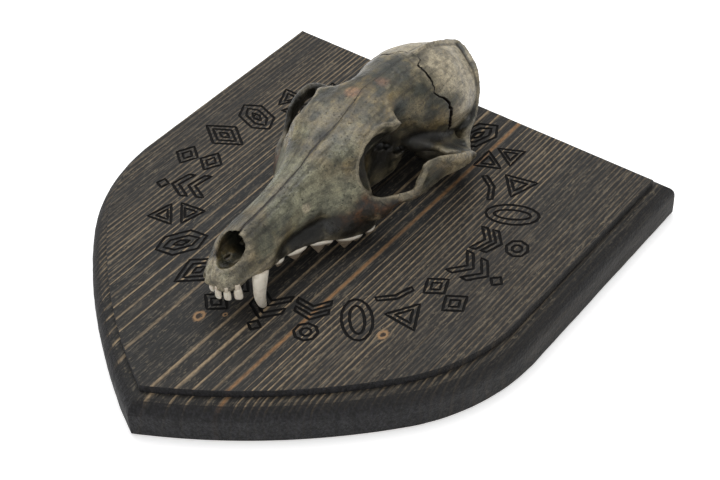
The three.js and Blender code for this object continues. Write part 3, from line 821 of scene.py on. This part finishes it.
CLOSED_SEAMS = [
    ([(79.5, 0.9, 37.6), (88, -0.4, 39.2), (98, 0.4, 40.4), (110, 0, 40.9)], 0.1),
    ([(111.9, 6.4, 39.8), (112.7, 2.5, 40.6), (113.8, -0.6, 40.7), (113.7, -2.3, 40.6)], 0.2),
    ([(116, 4.9, 40), (119, 2.4, 40.4), (123.2, 0.4, 40.9)], 0.16),
    ([(109.1, 15.7, 32.8), (107.4, 16.9, 30), (106.2, 17.7, 27.4)], 0.14),
    ([(1.2, 0.2, 3), (3.2, 0.1, 5)], 0.2),
]
PAIRED_SEAMS = [
    (NOSE_SEAM, 0.1), (BROW_SEAM, 0.1),
    ([(114.1, 21.6, 13.6), (119, 22.6, 15.6), (125, 22.6, 17), (131, 21.6, 15.6), (134, 20, 12.6)], 0.16),
    ([(60.4, 20, 20.2), (61.6, 20.6, 17), (63.8, 22.6, 13.4)], 0.15),
    ([(66.4, 22.6, 9.6), (69, 25.6, 5.2), (71, 27, 3)], 0.2),
    ([(88, 33.4, 20.6), (90, 34, 18.8), (94, 35, 16.6), (99, 36, 14.2), (105, 36, 11), (110, 34, 7.8)], 0.2),
]
SEAM_WIDTH = 0.4
SEAM_STAIN_WIDTH = 0.42
seam_jag = random.Random(11)


def resampled(line, step):
    points = [at(*p) for p in line]
    out = []
    for a, b in zip(points, points[1:]):
        pieces = max(1, round((b - a).length / step))
        out += [a + (b - a) * k / pieces for k in range(pieces)]
    return out + [points[-1]]


def on_skin(line, tree, step=0.9, jag=0.25):
    """The line laid on the skin, a little crooked."""
    laid = []
    for p in resampled(line, step):
        p = p + Vector([seam_jag.uniform(-jag, jag) for _ in range(3)])
        laid.append(np.array(tree.find(p)[0]))
    return np.array(laid)


def distance_to(co, line):
    """Distance of every point from a line; far points just get a large number."""
    best = np.full(len(co), 9.0)
    near = np.flatnonzero(((co > line.min(0) - 3) & (co < line.max(0) + 3)).all(1))
    part = co[near]
    closest = np.full(len(near), 9.0)
    for a, b in zip(line[:-1], line[1:]):
        run = b - a
        t = np.clip((part - a) @ run / max(run @ run, 1e-9), 0, 1)
        closest = np.minimum(closest, np.linalg.norm(part - a - t[:, None] * run, axis=1))
    best[near] = closest
    return best


def tree_of(co):
    tree = kdtree.KDTree(len(co))
    for i, p in enumerate(co):
        tree.insert(p, i)
    tree.balance()
    return tree


moved(skull.data, sculpted)
skin = tree_of(sculpted)
outward = normals_of(skull.data)
seams = [(on_skin(MIDLINE, skin, 1.5, 0.1), 0.5)]
seams += [(on_skin(line, skin), depth) for line, depth in CLOSED_SEAMS]
seams += [(on_skin([(s, w * side, h) for s, w, h in line], skin), depth)
          for line, depth in PAIRED_SEAMS for side in SIDES]
rims = [on_skin([(s, w * side, h) for s, w, h in line], skin, 1, 0)
        for line in (ORBIT_RIM, TEMPLE_LINE) for side in SIDES]
height = np.zeros(len(sculpted))
for line, rise, wide in zip(rims, (0.28, 0.28, 0.1, 0.1), (0.7, 0.7, 1.4, 1.4)):
    height += rise * np.exp(-(distance_to(sculpted, line) / wide) ** 2)
ridged = sculpted + outward * height[:, None]
for line, depth in seams:
    height -= depth * np.exp(-(distance_to(sculpted, line) / SEAM_WIDTH) ** 2)
uneven = np.array([0.22 * noise.noise(Vector(p) * 0.16)
                   + 0.1 * noise.noise(Vector(p) * 0.55 + Vector((7, 0, 0)))
                   + 0.03 * noise.noise(Vector(p) * 1.6) for p in sculpted])
sculpted = sculpted + outward * (height + uneven)[:, None]
moved(skull.data, sculpted)

# Stains of the bone, with painted shade and a painted highlight among them, kept as shares from 0 to 1 at
# each point
# of the skin: place, radius and strength of each spot, on both sides, and then those of one side only
STAINS = {
    # Dark spots in the orbits, temple hollows and nose, along the tooth rows, on the cheekbones and round
    # the skull's underside: painted shade, with some dirt
    "painted_shade_and_dirt": [((73, 13, 19), 8, 0.9), ((88, 10, 15), 11, 1), ((100, 15, 14), 10, 1),
              ((80, 12, 28), 6, 1), ((104, 17, 22), 8, 0.5), ((22, 0, 9), 8, 1), ((78, 31, 7), 7, 0.4),
              ((34, 9, 3), 6, 1), ((42, 12, 3.4), 7, 1), ((49, 15, 4), 5, 1), ((27, 9.5, 2), 5, 0.8),
              ((20, 10, 1), 4, 0.5), ((55, 17.5, 0), 6, 0.9), ((63, 20.5, -1), 6, 0.9),
              ((69, 24, 3), 5, 0.8), ((108, 20, 14), 6, 0.7), ((112, 13, 3), 9, 0.9),
              ((104, 9, 8), 8, 1), ((114, 25, 9), 6, 0.4), ((106, 31, 8), 5, 0.4),
              ((87, 33, 13), 9, 0.5), ((109, 27, 13), 8, 0.7)],
    "rust": [((63, 20.5, 7.5), 5.5, 1), ((68, 24, 6), 5, 0.9), ((58, 18.5, 4), 5, 0.9),
             ((53, 16.5, 5), 4, 0.6), ((70, 27, 7), 4, 0.8), ((78, 30.6, 8), 4, 0.5),
             ((90, 34, 14), 7, 0.3)],
    "pale": [((124, 12, 35), 12, 1), ((132, 16, 29), 11, 1), ((121, 21, 22), 7, 0.7),
             ((140, 4, 34), 11, 0.9), ((145, 9, 29), 9, 1), ((140, 15, 23), 7, 0.7),
             ((2, 2, 4), 3, 0.4), ((84, 17.6, 33), 2.5, 0.5)],
    "ash": [((30, 6, 16), 8, 0.8), ((42, 9, 17), 9, 1), ((53, 13, 15), 9, 0.9), ((36, 8, 11), 6, 0.8),
            ((47, 4, 24), 8, 0.8), ((60, 9, 30), 7, 0.6), ((70, 8, 34), 7, 0.4), ((20, 8, 10), 6, 0.6),
            ((58, 17, 17), 6, 0.8), ((3, 3, 2.4), 4, 0.7)],
    "tan": [((78, 30, 12), 5, 0.6), ((64, 22, 12), 4, 0.5), ((24, 2.5, 17), 6, 0.5),
            ((90, 34, 17), 7, 0.4), ((88, 8, 36), 8, 0.4), ((76, 5, 36), 7, 0.3), ((52, 6, 27), 5, 0.4),
            ((12, 6, 8), 3, 0.8)],
    "slate": [((94, 12, 31), 7, 0.7), ((103, 15, 27), 7, 0.5), ((30, 8, 12), 8, 0.5),
              ((22, 8, 10), 6, 0.4), ((149, 4, 30), 4, 1), ((146, 12, 26), 4, 1), ((141, 18, 20), 4, 1),
              ((136, 21, 13), 4, 1), ((108, 30, 12), 6, 0.8), ((116, 27, 9), 5, 0.8)],
    "gloss": [((64, 9, 31), 7, 1), ((60, 14.5, 26), 6, 1), ((5, 4, 5), 6, 1), ((49, 15, 3), 3, 1),
              ((40, 4, 22), 8, 0.6), ((68, 3, 34), 7, 0.6)],
    "blush": [],
}
LONE_STAINS = {
    "rust": [((7, -4.4, 8), 3, 0.5), ((11, 6.4, 6), 4, 0.3)],
    "blush": [((83.1, -2.4, 38.3), 3.6, 1), ((94, 3, 39.8), 3.4, 0.7)],
    # Painted shade on the inner face of the right cheekbone and deep in the nose opening
    "painted_shade_and_dirt": [((86, -31, 14), 12, 1), ((100, -31, 14), 10, 1), ((72, -27, 8), 7, 0.7),
              ((8.5, 0, 4.4), 3.2, 0.6)],
    "pale": [((126, -6, 39), 11, 1), ((135, -3, 37), 10, 0.9), ((100, -9, 38), 7, 0.4),
             # The spot on the right premaxilla, at s 5, is a painted highlight.
             ((41, 9, 14), 1.7, 1.3), ((5, -4.2, 5), 1.6, 1)],
}


def stained(spots, lone):
    share = np.zeros(len(sculpted))
    paired = [((s, w * side, h), *rest) for (s, w, h), *rest in spots for side in SIDES]
    for (s, w, h), radius, strength in paired + lone:
        far = np.linalg.norm(sculpted - np.array((w, s, h)), axis=1) / radius
        share = np.maximum(share, strength * np.exp(-far ** 2))
    return share


stains = {name: stained(spots, LONE_STAINS.get(name, [])) for name, spots in STAINS.items()}
outward = normals_of(skull.data)
# Curvature shares: the first lightens convex edges (wear with a painted highlight) and darkens small creases
# (painted shade); the second darkens broad hollows (painted shade)
for name, rounds, gain in (("edge_wear_highlight_and_crease_shade", 9, 3.4), ("hollow_painted_shade", 50, 0.9)):
    even = ridged
    for _ in range(rounds):
        even = neighbour_mean(even, skull_edges)
    stains[name] = np.clip(0.5 + gain * ((even - ridged) * outward).sum(1), 0, 1)
stains["seam"] = np.zeros(len(sculpted))
for line, depth in seams:
    mark = min(0.95, 2.4 * depth)
    drawn = mark * np.exp(-(distance_to(sculpted, line) / SEAM_STAIN_WIDTH) ** 2)
    stains["seam"] = np.maximum(stains["seam"], drawn)

# The seams between the bones are open cracks or closed lines. The braincase parts from the
# snout at the coronal seam, and each cheekbone parts from the bones at its two ends.
crack_run = along((0, 117.5), (10, 117), (14, 116), (18, 112.4), (28.7, 112.2), (36.8, 112.1),
                  (47.6, 111.1), (52.2, 109.9), (57.8, 111.1), (62, 112.9), (70.9, 114.7),
                  (78.9, 114.8), (88.9, 114.4), (103.6, 115.4), (108, 114.1))
crack_gap = along((0, 0.08), (10, 0.12), (14, 0.7), (40, 0.8), (50, 0.5), (58, 0.8), (64, 1.3), (80, 1.45),
                  (96, 1.2), (104, 0.7), (110, 0.12), (180, 0.08))
CRACK_MIDDLE = 20
BASE_SEAM = 98


def crack_at(w, h):
    """s of the parting between snout and braincase, and its width there."""
    turn = math.degrees(math.atan2(abs(w), h - CRACK_MIDDLE))
    s = crack_run(turn)
    jag = (0.55 * noise.noise(Vector((w * 0.9, h * 0.9, 3.0)))
           + 0.3 * noise.noise(Vector((w * 2.3, h * 2.3, 8.0))))
    inner = max(0.0, 1 - math.hypot(w, h - CRACK_MIDDLE) / 13)
    s += jag * (1 - inner)
    low = min(1.0, max(0.0, (15.5 - h) / 3.5))
    low = low * low * (3 - 2 * low)
    s += (BASE_SEAM - s) * low
    outer = min(1.0, max(0.0, (abs(w) - 22.6) / 1.2))
    s += (80 - s) * outer * low
    return s, crack_gap(turn if low < 0.5 else 180)


# Signed distances from the midline and from the crack, in shares of their half-widths
line_w = along(*[(s, w) for s, w, _ in MIDLINE], (88, -0.4), (98, 0.4), (110, 0), (119, 0.2))
line_wide = along((12, 0.34), (30, 0.26), (60, 0.2), (80, 0.13), (105, 0.06), (119, 0.02))
stains["midline"] = np.array([(w - line_w(s) - 0.1 * noise.noise(Vector((s * 0.8, 0, 0)))) / line_wide(s)
                              if h > crown_height(s) - 4 and 12 < s < 119 else 9 for w, s, h in sculpted])
stains["crack"] = np.full(len(sculpted), 9.0)
for i in np.flatnonzero((sculpted[:, 1] > 92) & (sculpted[:, 1] < 124)):
    w, s, h = sculpted[i]
    place, gap = crack_at(w, h)
    stains["crack"][i] = (s - place) / (gap / 2 + 0.06)


def grown_to(bm, axis, end):
    """Body between a sheet and the plane at end."""
    grown = bmesh.ops.extrude_face_region(bm, geom=list(bm.faces))
    for element in grown["geom"]:
        if isinstance(element, bmesh.types.BMVert):
            element.co[axis] = end
    bmesh.ops.recalc_face_normals(bm, faces=bm.faces)
    return new_object("block", bm)


BEFORE_SKULL = -12
BEHIND_SKULL = 166


def half_skull(front):
    """Block that holds everything before, or behind, the parting."""
    bm = bmesh.new()
    bmesh.ops.create_grid(bm, x_segments=230, y_segments=150, size=1)
    for v in bm.verts:
        w, h = v.co.x * 46, 20 + v.co.y * 30
        s, gap = crack_at(w, h)
        v.co = at(s - gap / 2 if front else s + gap / 2, w, h)
    return grown_to(bm, 1, BEFORE_SKULL if front else BEHIND_SKULL)


cheek_seam = [(61.2, 19), (62.6, 16), (63.8, 13.6), (66, 9.6), (69, 5), (71.5, 2), (74, -3), (106, -3),
              (109.6, 8.6), (103, 12.6), (95, 16.8), (88.6, 21.2), (88, 26)]
CHEEK_INNER = 21.4


def cheek_block(side, margin):
    """Block round a cheekbone, grown on every side by a margin."""
    middle = (84, 8)
    bm = bmesh.new()
    outline = []
    for (s0, h0), (s1, h1) in zip(cheek_seam, cheek_seam[1:] + cheek_seam[:1]):
        length = math.hypot(s1 - s0, h1 - h0)
        pieces = max(1, round(length / 0.8))
        out_s, out_h = (h1 - h0) / length, -(s1 - s0) / length
        if out_s * (s0 - middle[0]) + out_h * (h0 - middle[1]) < 0:
            out_s, out_h = -out_s, -out_h
        for k in range(pieces):
            t = k / pieces
            s, h = s0 + (s1 - s0) * t, h0 + (h1 - h0) * t
            grown = margin + 0.3 * noise.noise(Vector((s, h, 5.0 * side)))
            outline.append((s + out_s * grown, h + out_h * grown))
    bmesh.ops.create_circle(bm, cap_ends=True, segments=len(outline), radius=1)
    for v in bm.verts:
        column = round(math.atan2(v.co.y, v.co.x) / math.tau * len(outline)) % len(outline)
        s, h = outline[column]
        v.co = at(s, (CHEEK_INNER - margin) * side, h)
    return grown_to(bm, 0, 44 * side)


def copy_of(obj, name):
    twin = obj.copy()
    twin.data = obj.data.copy()
    twin.name = name
    bpy.context.scene.collection.objects.link(twin)
    return twin


def largest_only(obj):
    """Drops every loose scrap but the largest body."""
    bm = bmesh.new()
    bm.from_mesh(obj.data)
    bmesh.ops.remove_doubles(bm, verts=bm.verts, dist=1e-5)
    seen, bodies = set(), []
    for start in bm.verts:
        if start.index in seen:
            continue
        body, todo = [], [start]
        seen.add(start.index)
        while todo:
            v = todo.pop()
            body.append(v)
            for e in v.link_edges:
                other = e.other_vert(v)
                if other.index not in seen:
                    seen.add(other.index)
                    todo.append(other)
        bodies.append(body)
    bodies.sort(key=len, reverse=True)
    for body in bodies[1:]:
        bmesh.ops.delete(bm, geom=body, context="VERTS")
    bm.to_mesh(obj.data)
    bm.free()
    return obj


bones = {}
for side, name in ((1, "cheekbone_left"), (-1, "cheekbone_right")):
    bones[name] = combined(copy_of(skull, name + "_bone"), cheek_block(side, 0), "INTERSECT")
    combined(skull, cheek_block(side, 0.1), "DIFFERENCE")
bones["braincase"] = combined(copy_of(skull, "braincase_bones"), half_skull(False), "INTERSECT")
bones["snout"] = combined(skull, half_skull(True), "INTERSECT")
bones["snout"].name = "snout_bones"


def keep_values(piece, name, values):
    """Keeps one number for each point of a piece, for its material to read."""
    layer = piece.data.attributes.new(name, "FLOAT", "POINT")
    layer.data.foreach_set("value", values.astype(np.float32))


def dressed(piece, material):
    """Sets a finished form in its place on the board, smooth and in its material."""
    piece.data.transform(skull_place)
    piece.data.materials.clear()
    piece.data.materials.append(material)
    piece.data.shade_smooth()


def stain(place, name):
    node = node_beside("Attribute", place)
    node.attribute_name = name
    return node.outputs["Fac"]


def mottled(share, place, scale, low=0.25, high=0.75):
    """A share whose edge is broken up by noise."""
    broken = plus(share, times(minus(speckle(place, scale, 4), 0.5), 0.9))
    return spread(times(broken, spread(share, 0, 0.25)), low, high)


def drawn_line(name, rough):
    """Share of a crisp dark line along a signed distance."""
    far = plus(stain(rough, name), times(minus(rough, 0.5), 1.6))
    return spread(maths("ABSOLUTE", far), 1.5, 0.8)


def weathered_bone_with_painted_shade():
    material, tree, shader = nodes_of("weathered_bone_with_painted_shade")
    place = object_place(tree)
    cloud = speckle(place, 55, 5)
    patch = speckle(place, 105, 5, (1, 0.7, 1.3))
    warm = speckle(place, 80, 4, (1.2, 0.6, 1))
    small = speckle(place, 330, 6, rough=0.65)
    fine = speckle(place, 1700, 4, rough=0.7)
    pores = speckle(place, 1150, 2)
    lines = speckle(place, 620, 4, (1, 0.09, 1))
    base = blend(spread(cloud, 0.38, 0.6), colour(54, 53, 39), colour(110, 101, 78))
    base = blend(spread(warm, 0.5, 0.64, 0, 0.65), base, colour(124, 106, 68))
    base = blend(spread(patch, 0.5, 0.6, 0, 0.75), base, colour(46, 50, 45))
    for name, part, low, high, tone in (
            ("ash", 0.8, 0.1, 0.9, (128, 127, 105)), ("tan", 0.8, 0.2, 0.8, (138, 120, 86)),
            ("pale", 0.92, 0.1, 0.85, (168, 157, 133)), ("slate", 0.9, 0.25, 0.75, (54, 58, 55)),
            ("blush", 0.55, 0.2, 0.8, (146, 106, 80))):
        tinted = times(mottled(stain(place, name), place, 120, low, high), part)
        base = blend(tinted, base, colour(*tone))
    # Lighter on convex edges: wear and a painted highlight. Darker in small creases: painted shade.
    base = blend(spread(stain(place, "edge_wear_highlight_and_crease_shade"), 0.44, 0.1, 0, 0.5), base, colour(150, 140, 118))
    base = blend(spread(stain(place, "edge_wear_highlight_and_crease_shade"), 0.56, 0.95, 0, 0.6), base, colour(36, 34, 28))
    # Darker in broad hollows: painted shade.
    base = blend(spread(stain(place, "hollow_painted_shade"), 0.56, 0.95, 0, 0.62), base, colour(38, 37, 32))
    base = blend(times(mottled(stain(place, "rust"), place, 120, 0.1, 0.6), 0.9), base,
                 blend(spread(small, 0.4, 0.62), colour(30, 23, 16), colour(76, 46, 23)))
    # Near black in the hollows: painted shade, with some dirt.
    base = blend(times(mottled(stain(place, "painted_shade_and_dirt"), place, 120, 0.1, 0.8), 0.93), base,
                 colour(21, 21, 18))
    grain = times(spread(fine, 0.38, 0.62, 0.76, 1.18), spread(small, 0.38, 0.62, 0.72, 1.2))
    grain = times(grain, spread(lines, 0.46, 0.64, 1.1, 0.62))
    base = blend(1.0, base, grain, "MULTIPLY")
    base = blend(spread(pores, 0.64, 0.7, 0, 0.8), base, colour(20, 19, 15))
    drawn = maths("MAXIMUM", drawn_line("midline", lines), drawn_line("crack", small))
    dark = maths("MAXIMUM", times(stain(place, "seam"), spread(small, 0.3, 0.6, 0.7, 1)), drawn)
    base = blend(dark, base, colour(24, 17, 11))
    feed(shader.inputs["Base Color"], base)
    dull = spread(small, 0.3, 0.7, 0.28, 0.52)
    feed(shader.inputs["Roughness"],
         minus(dull, times(mottled(stain(place, "gloss"), place, 300), 0.27)))
    relief = plus(times(small, 1.2), times(fine, 0.35))
    relief = plus(relief, times(lines, -0.5))
    relief = plus(relief, times(spread(pores, 0.62, 0.7), -0.6))
    relief = minus(relief, times(drawn, 0.8))
    feed(shader.inputs["Normal"], bump(relief, 0.6, 0.0006))
    return material


def give_stains(piece):
    """Hands each point of a bone the stains and painted shade of the nearest point of the whole skin."""
    co = points_of(piece.data)
    found = [whole.find(p) for p in co]
    index = np.array([f[1] for f in found])
    inside = np.array([f[2] for f in found]) > 0.32
    for name, share in stains.items():
        values = share[index]
        # Points on the cut walls lie inside the partings and are made fully dark: painted shade.
        if name in ("painted_shade_and_dirt", "seam"):
            values = np.where(inside, 1.0, values)
        keep_values(piece, name, values)


whole = tree_of(sculpted)
bone = weathered_bone_with_painted_shade()
for name, piece in bones.items():
    largest_only(piece)
    give_stains(piece)
    dressed(piece, bone)
    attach(piece, "root")
    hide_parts(name)

# Thin scrolls of bone and the partition between them show inside the nose opening. They are
# flat bars along the cavity, grown from its hind wall and coloured like the skull.
# Front end of each scroll: s, w, h, half-width and lean in degrees
SCROLLS = [(18, 2.5, 11.4, 1.8, 38), (18.6, 2.9, 8.4, 1.6, -30), (17.4, 1.7, 6.6, 1.2, 12)]


def nose_scrolls():
    sheets = [bar([at(17, 0.3, 8.6), at(22, 0.1, 9.2), at(36, 0, 10)],
                  lambda t: (0.22, 3.4 + t, 0), 12, 16)]
    for side in SIDES:
        for s, w, h, wide, lean in SCROLLS:
            path = [at(s, w * side, h), at(s + 7, w * side * 0.95, h + 0.3), at(36, w * side * 0.8, h)]
            sheets.append(bar(path, lambda t: (wide * (0.6 + 0.4 * min(1, 5 * t)), 0.26,
                                               math.radians(lean) * side), 14, 16))
    return sheets


scrolls = joined("nose_scrolls", nose_scrolls())
# Deep in the nose, the scrolls get a fixed share of painted shade.
for name, share in (("edge_wear_highlight_and_crease_shade", 0.4), ("hollow_painted_shade", 0.5), ("painted_shade_and_dirt", 0.4), ("midline", 9), ("crack", 9)):
    keep_values(scrolls, name, np.full(len(scrolls.data.vertices), share))
dressed(scrolls, bone)
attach(scrolls, "root")

# The teeth are glossy cream enamel on tan roots, each set in its socket in the upper jaw.
# On the right only the stub of the first incisor is left of the three.
CANINE_PATH = [(18, 7.2, 6), (15.2, 9.2, 1.4), (14.2, 9.7, -4), (14.1, 9.8, -8.5), (15.1, 9.7, -12.5),
               (16.7, 9.5, -15.7)]
CANINE_LENGTH = 7.2
CANINE_BREADTH = 4.8
canine_swell = along((0, 0.85), (0.2, 1), (0.4, 0.88), (0.6, 0.72), (0.8, 0.56), (0.93, 0.43),
                     (0.98, 0.33), (1, 0.1))
# Front teeth of the left side: s, w, length, breadth and height
INCISORS = [(0.8, 1.6, 2.5, 2.4, 4.7), (2.2, 4.6, 2.7, 2.7, 4.9), (5.2, 7, 3.2, 3.2, 5.8)]
INCISOR_STUB = (1.2, -1.5, 2, 1.9, 3)
# Cheek teeth: front and back s, breadth, and the crown's depth along its length
CHEEK_TEETH = [
    (23.6, 28.4, 2.8, [(0, 0.8), (0.35, 3), (0.6, 3.2), (1, 0.8)]),
    (30, 39.4, 3.1, [(0, 0.7), (0.34, 3.8), (0.46, 4.8), (0.58, 4), (0.78, 1.8), (1, 0.7)]),
    (40.8, 50.2, 3.4, [(0, 0.8), (0.32, 4.2), (0.42, 5.4), (0.54, 4.4), (0.7, 2), (0.84, 2.6), (1, 0.7)]),
    (51.4, 62.8, 4.6, [(0, 0.8), (0.22, 3.8), (0.32, 5.2), (0.42, 4.4), (0.58, 2.2), (0.76, 3.4),
                       (0.92, 2.2), (1, 0.7)]),
    (63.8, 70, 4.4, [(0, 0.7), (0.26, 3), (0.46, 1.8), (0.68, 2.7), (1, 0.7)]),
    (70.6, 75.2, 3.4, [(0, 0.6), (0.3, 2.2), (0.6, 1.4), (1, 0.6)]),
]
# Low inner parts of the back teeth: s, how far in from the outer face, half sizes in w, s, h
INNER_LOBES = [(50.6, 4.6, (1.9, 2, 1.9)), (66.6, 6.6, (4.2, 3.4, 1.9)), (66, 8.8, (2, 2.2, 1.6)),
               (73.4, 4.4, (3, 2.1, 1.6))]


def canine(side):
    steps, sides = 60, 32

    def place(row, column):
        t = row / steps
        centre = smooth_point([at(s, w * side, h) for s, w, h in CANINE_PATH], t)
        turn = math.tau * column / sides
        size = canine_swell(t)
        keel = 1 + 0.07 * math.cos(turn) ** 8
        return centre + Vector((math.sin(turn) * CANINE_BREADTH / 2 * size,
                                math.cos(turn) * CANINE_LENGTH / 2 * size * keel, 0))
    return tube(place, steps, sides)


def incisor(s, w, length, breadth, height):
    """Flat peg, narrow at the neck and broad near its rounded edge."""
    steps, sides = 30, 28
    root = 1.6
    gum = gum_height(s) + 0.4
    wide = along((-root, 0.6), (0, 0.74), (0.45 * height, 0.98), (0.75 * height, 1), (0.93 * height, 0.86),
                 (0.98 * height, 0.6), (height, 0.15))
    deep = along((-root, 0.8), (0, 0.95), (0.5 * height, 0.85), (0.92 * height, 0.5), (height, 0.1))

    def place(row, column):
        depth = -root + (height + root) * (row / steps) ** 0.85
        turn = math.tau * column / sides
        across, ahead = math.sin(turn), math.cos(turn)
        across = math.copysign(abs(across) ** 0.8, across)
        splay = math.atan2(w, 9)
        x, y = across * breadth / 2 * wide(depth), ahead * length / 2 * deep(depth)
        return at(s + 0.12 * depth + y * math.cos(splay) + x * math.sin(splay),
                  w + x * math.cos(splay) - y * math.sin(splay), gum - depth)
    return tube(place, steps, sides)


def blade(front, rear, breadth, depths, side):
    """Long crown whose lower edge rises and falls in cusps."""
    steps, sides = 44, 28
    depth_at = along(*depths)

    def place(row, column):
        t = row / steps
        s = front + (rear - front) * t
        full = math.sqrt(max(0.0, 1 - abs(2 * t - 1) ** 2))
        gum = gum_height(s) - 0.3
        low = -depth_at(t) * (0.35 + 0.65 * min(1, full * 1.3))
        turn = math.tau * column / sides
        rise = math.cos(turn)
        h = rise * 1.7 if rise > 0 else rise * -low
        below = max(0.0, -rise * -low - 0.5)
        neck = 1 - 0.3 * rise if rise > 0 else max(0.0, 1 - below / (-low + 0.3)) ** 0.7
        half = breadth / 2 * max(0.06, full) * neck
        middle = gum_half(s) + 0.3 - breadth / 2
        return at(s, (middle + math.sin(turn) * half) * side, gum + h)
    return tube(place, steps, sides)


def incisors():
    stub = incisor(*INCISOR_STUB)
    return [incisor(*row) for row in INCISORS] + [stub]


def canines():
    return [canine(side) for side in SIDES]


def cheek_teeth():
    crowns = [blade(*row, side) for row in CHEEK_TEETH for side in SIDES]
    for s, inward, halves in INNER_LOBES:
        for side in SIDES:
            crowns.append(ball((s, (gum_half(s) - inward) * side, gum_height(s) - 0.9), halves))
    return crowns


def enamel():
    material, tree, shader = nodes_of("enamel")
    place = object_place(tree)
    small = speckle(place, 420, 4)
    streak = speckle(place, 900, 3, (1, 1, 0.12))
    depth = plus(stain(place, "depth"), times(minus(small, 0.5), 0.35))
    base = blend(small, colour(216, 205, 184), colour(240, 234, 222))
    base = blend(spread(streak, 0.52, 0.75, 0, 0.35), base, colour(190, 172, 142))
    # Darker brown down the crowns of the cheek teeth: a brown stain with painted shade.
    base = blend(spread(depth, 0.42, 0.95, 0, 0.85), base, colour(88, 70, 47))
    base = blend(spread(depth, 0.03, -0.06, 0, 0.45), base, colour(140, 116, 84))
    feed(shader.inputs["Base Color"], base)
    feed(shader.inputs["Roughness"], spread(small, 0.3, 0.7, 0.22, 0.4))
    shader.inputs["Subsurface Weight"].default_value = 0.08
    shader.inputs["Subsurface Radius"].default_value = (0.0012, 0.0008, 0.0005)
    shader.inputs["Subsurface Scale"].default_value = 0.5
    feed(shader.inputs["Normal"], bump(streak, 0.2, 0.0003))
    return material


tooth_enamel = enamel()
TOOTH_VOXEL = 0.2
# Each kind with the depth over which its enamel darkens, by a brown stain with painted shade, in millimetres
TOOTH_KINDS = (("incisors", incisors, 9.0), ("canines", canines, 30.0), ("cheek_teeth", cheek_teeth, 2))
for name, forms, stain_and_shade_depth in TOOTH_KINDS:
    piece = joined(name, forms())
    remeshed(piece, TOOTH_VOXEL)
    relax(piece.data, 2)
    co = points_of(piece.data)
    gum = np.array([gum_height(s) + 0.3 for s in co[:, 1]])
    keep_values(piece, "depth", (gum - co[:, 2]) / stain_and_shade_depth)
    dressed(piece, tooth_enamel)
    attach(piece, "root")

# The plaque lies on a plain white table under broad soft light from above, as in a light tent.
# The table is a hair below the board, so that their faces don't mix, and it is clear from below,
# so that the underside of the board can be seen.
TABLE_DROP = 0.3 * MM
bm = bmesh.new()
bmesh.ops.create_grid(bm, x_segments=1, y_segments=1, size=4,
                      matrix=Matrix.Translation((0, 0, -TABLE_DROP)))
floor = new_object("floor", bm)
floor_paint, tree, shader = nodes_of("white_table")
shader.inputs["Base Color"].default_value = (0.9, 0.9, 0.9, 1)
shader.inputs["Roughness"].default_value = 0.7
shader.inputs["Emission Color"].default_value = (1, 1, 1, 1)
shader.inputs["Emission Strength"].default_value = 0.45
one_way = tree.nodes.new("ShaderNodeMixShader")
tree.links.new(tree.nodes.new("ShaderNodeNewGeometry").outputs["Backfacing"], one_way.inputs[0])
tree.links.new(shader.outputs[0], one_way.inputs[1])
tree.links.new(tree.nodes.new("ShaderNodeBsdfTransparent").outputs[0], one_way.inputs[2])
tree.links.new(one_way.outputs[0], tree.nodes["Material Output"].inputs[0])
floor.data.materials.append(floor_paint)

scene = bpy.context.scene
world = bpy.data.worlds.new("studio")
world.use_nodes = True
world.node_tree.nodes["Background"].inputs[0].default_value = (1, 1, 1, 1)
world.node_tree.nodes["Background"].inputs[1].default_value = 0.36
scene.world = world
scene.view_settings.view_transform = "Standard"


def soft_light(name, place, aim, size, power):
    lamp = bpy.data.lights.new(name, "AREA")
    lamp.size = size
    lamp.energy = power
    obj = bpy.data.objects.new(name, lamp)
    obj.location = place
    obj.rotation_euler = (Vector(aim) - Vector(place)).to_track_quat("-Z", "Y").to_euler()
    scene.collection.objects.link(obj)


soft_light("overhead", (-0.3, 0.25, 1.0), (0, 0, 0), 1.2, 11)
soft_light("front_fill", (0.5, -0.8, 0.5), (0, 0, 0), 0.8, 2.2)

# The camera stands before the shield's right side and looks down on it.
AZIMUTH = math.radians(40.33)
ELEVATION = math.radians(42.81)
ROLL = math.radians(-3.38)
DISTANCE = 555.8 * MM
LOOK_AT = Vector((16.70, 4.76, 18.4)) * MM
back = Vector((math.sin(AZIMUTH) * math.cos(ELEVATION), -math.cos(AZIMUTH) * math.cos(ELEVATION),
               math.sin(ELEVATION)))
level = Vector((math.cos(AZIMUTH), math.sin(AZIMUTH), 0))
rise = back.cross(level)
right = level * math.cos(ROLL) + rise * math.sin(ROLL)
up = rise * math.cos(ROLL) - level * math.sin(ROLL)
lens = bpy.data.cameras.new("camera")
lens.lens = 74.19
lens.sensor_width = 36
camera = bpy.data.objects.new("camera", lens)
turn = Matrix((right, up, back)).transposed()
camera.matrix_world = Matrix.Translation(LOOK_AT + back * DISTANCE) @ turn.to_4x4()
scene.collection.objects.link(camera)
scene.camera = camera
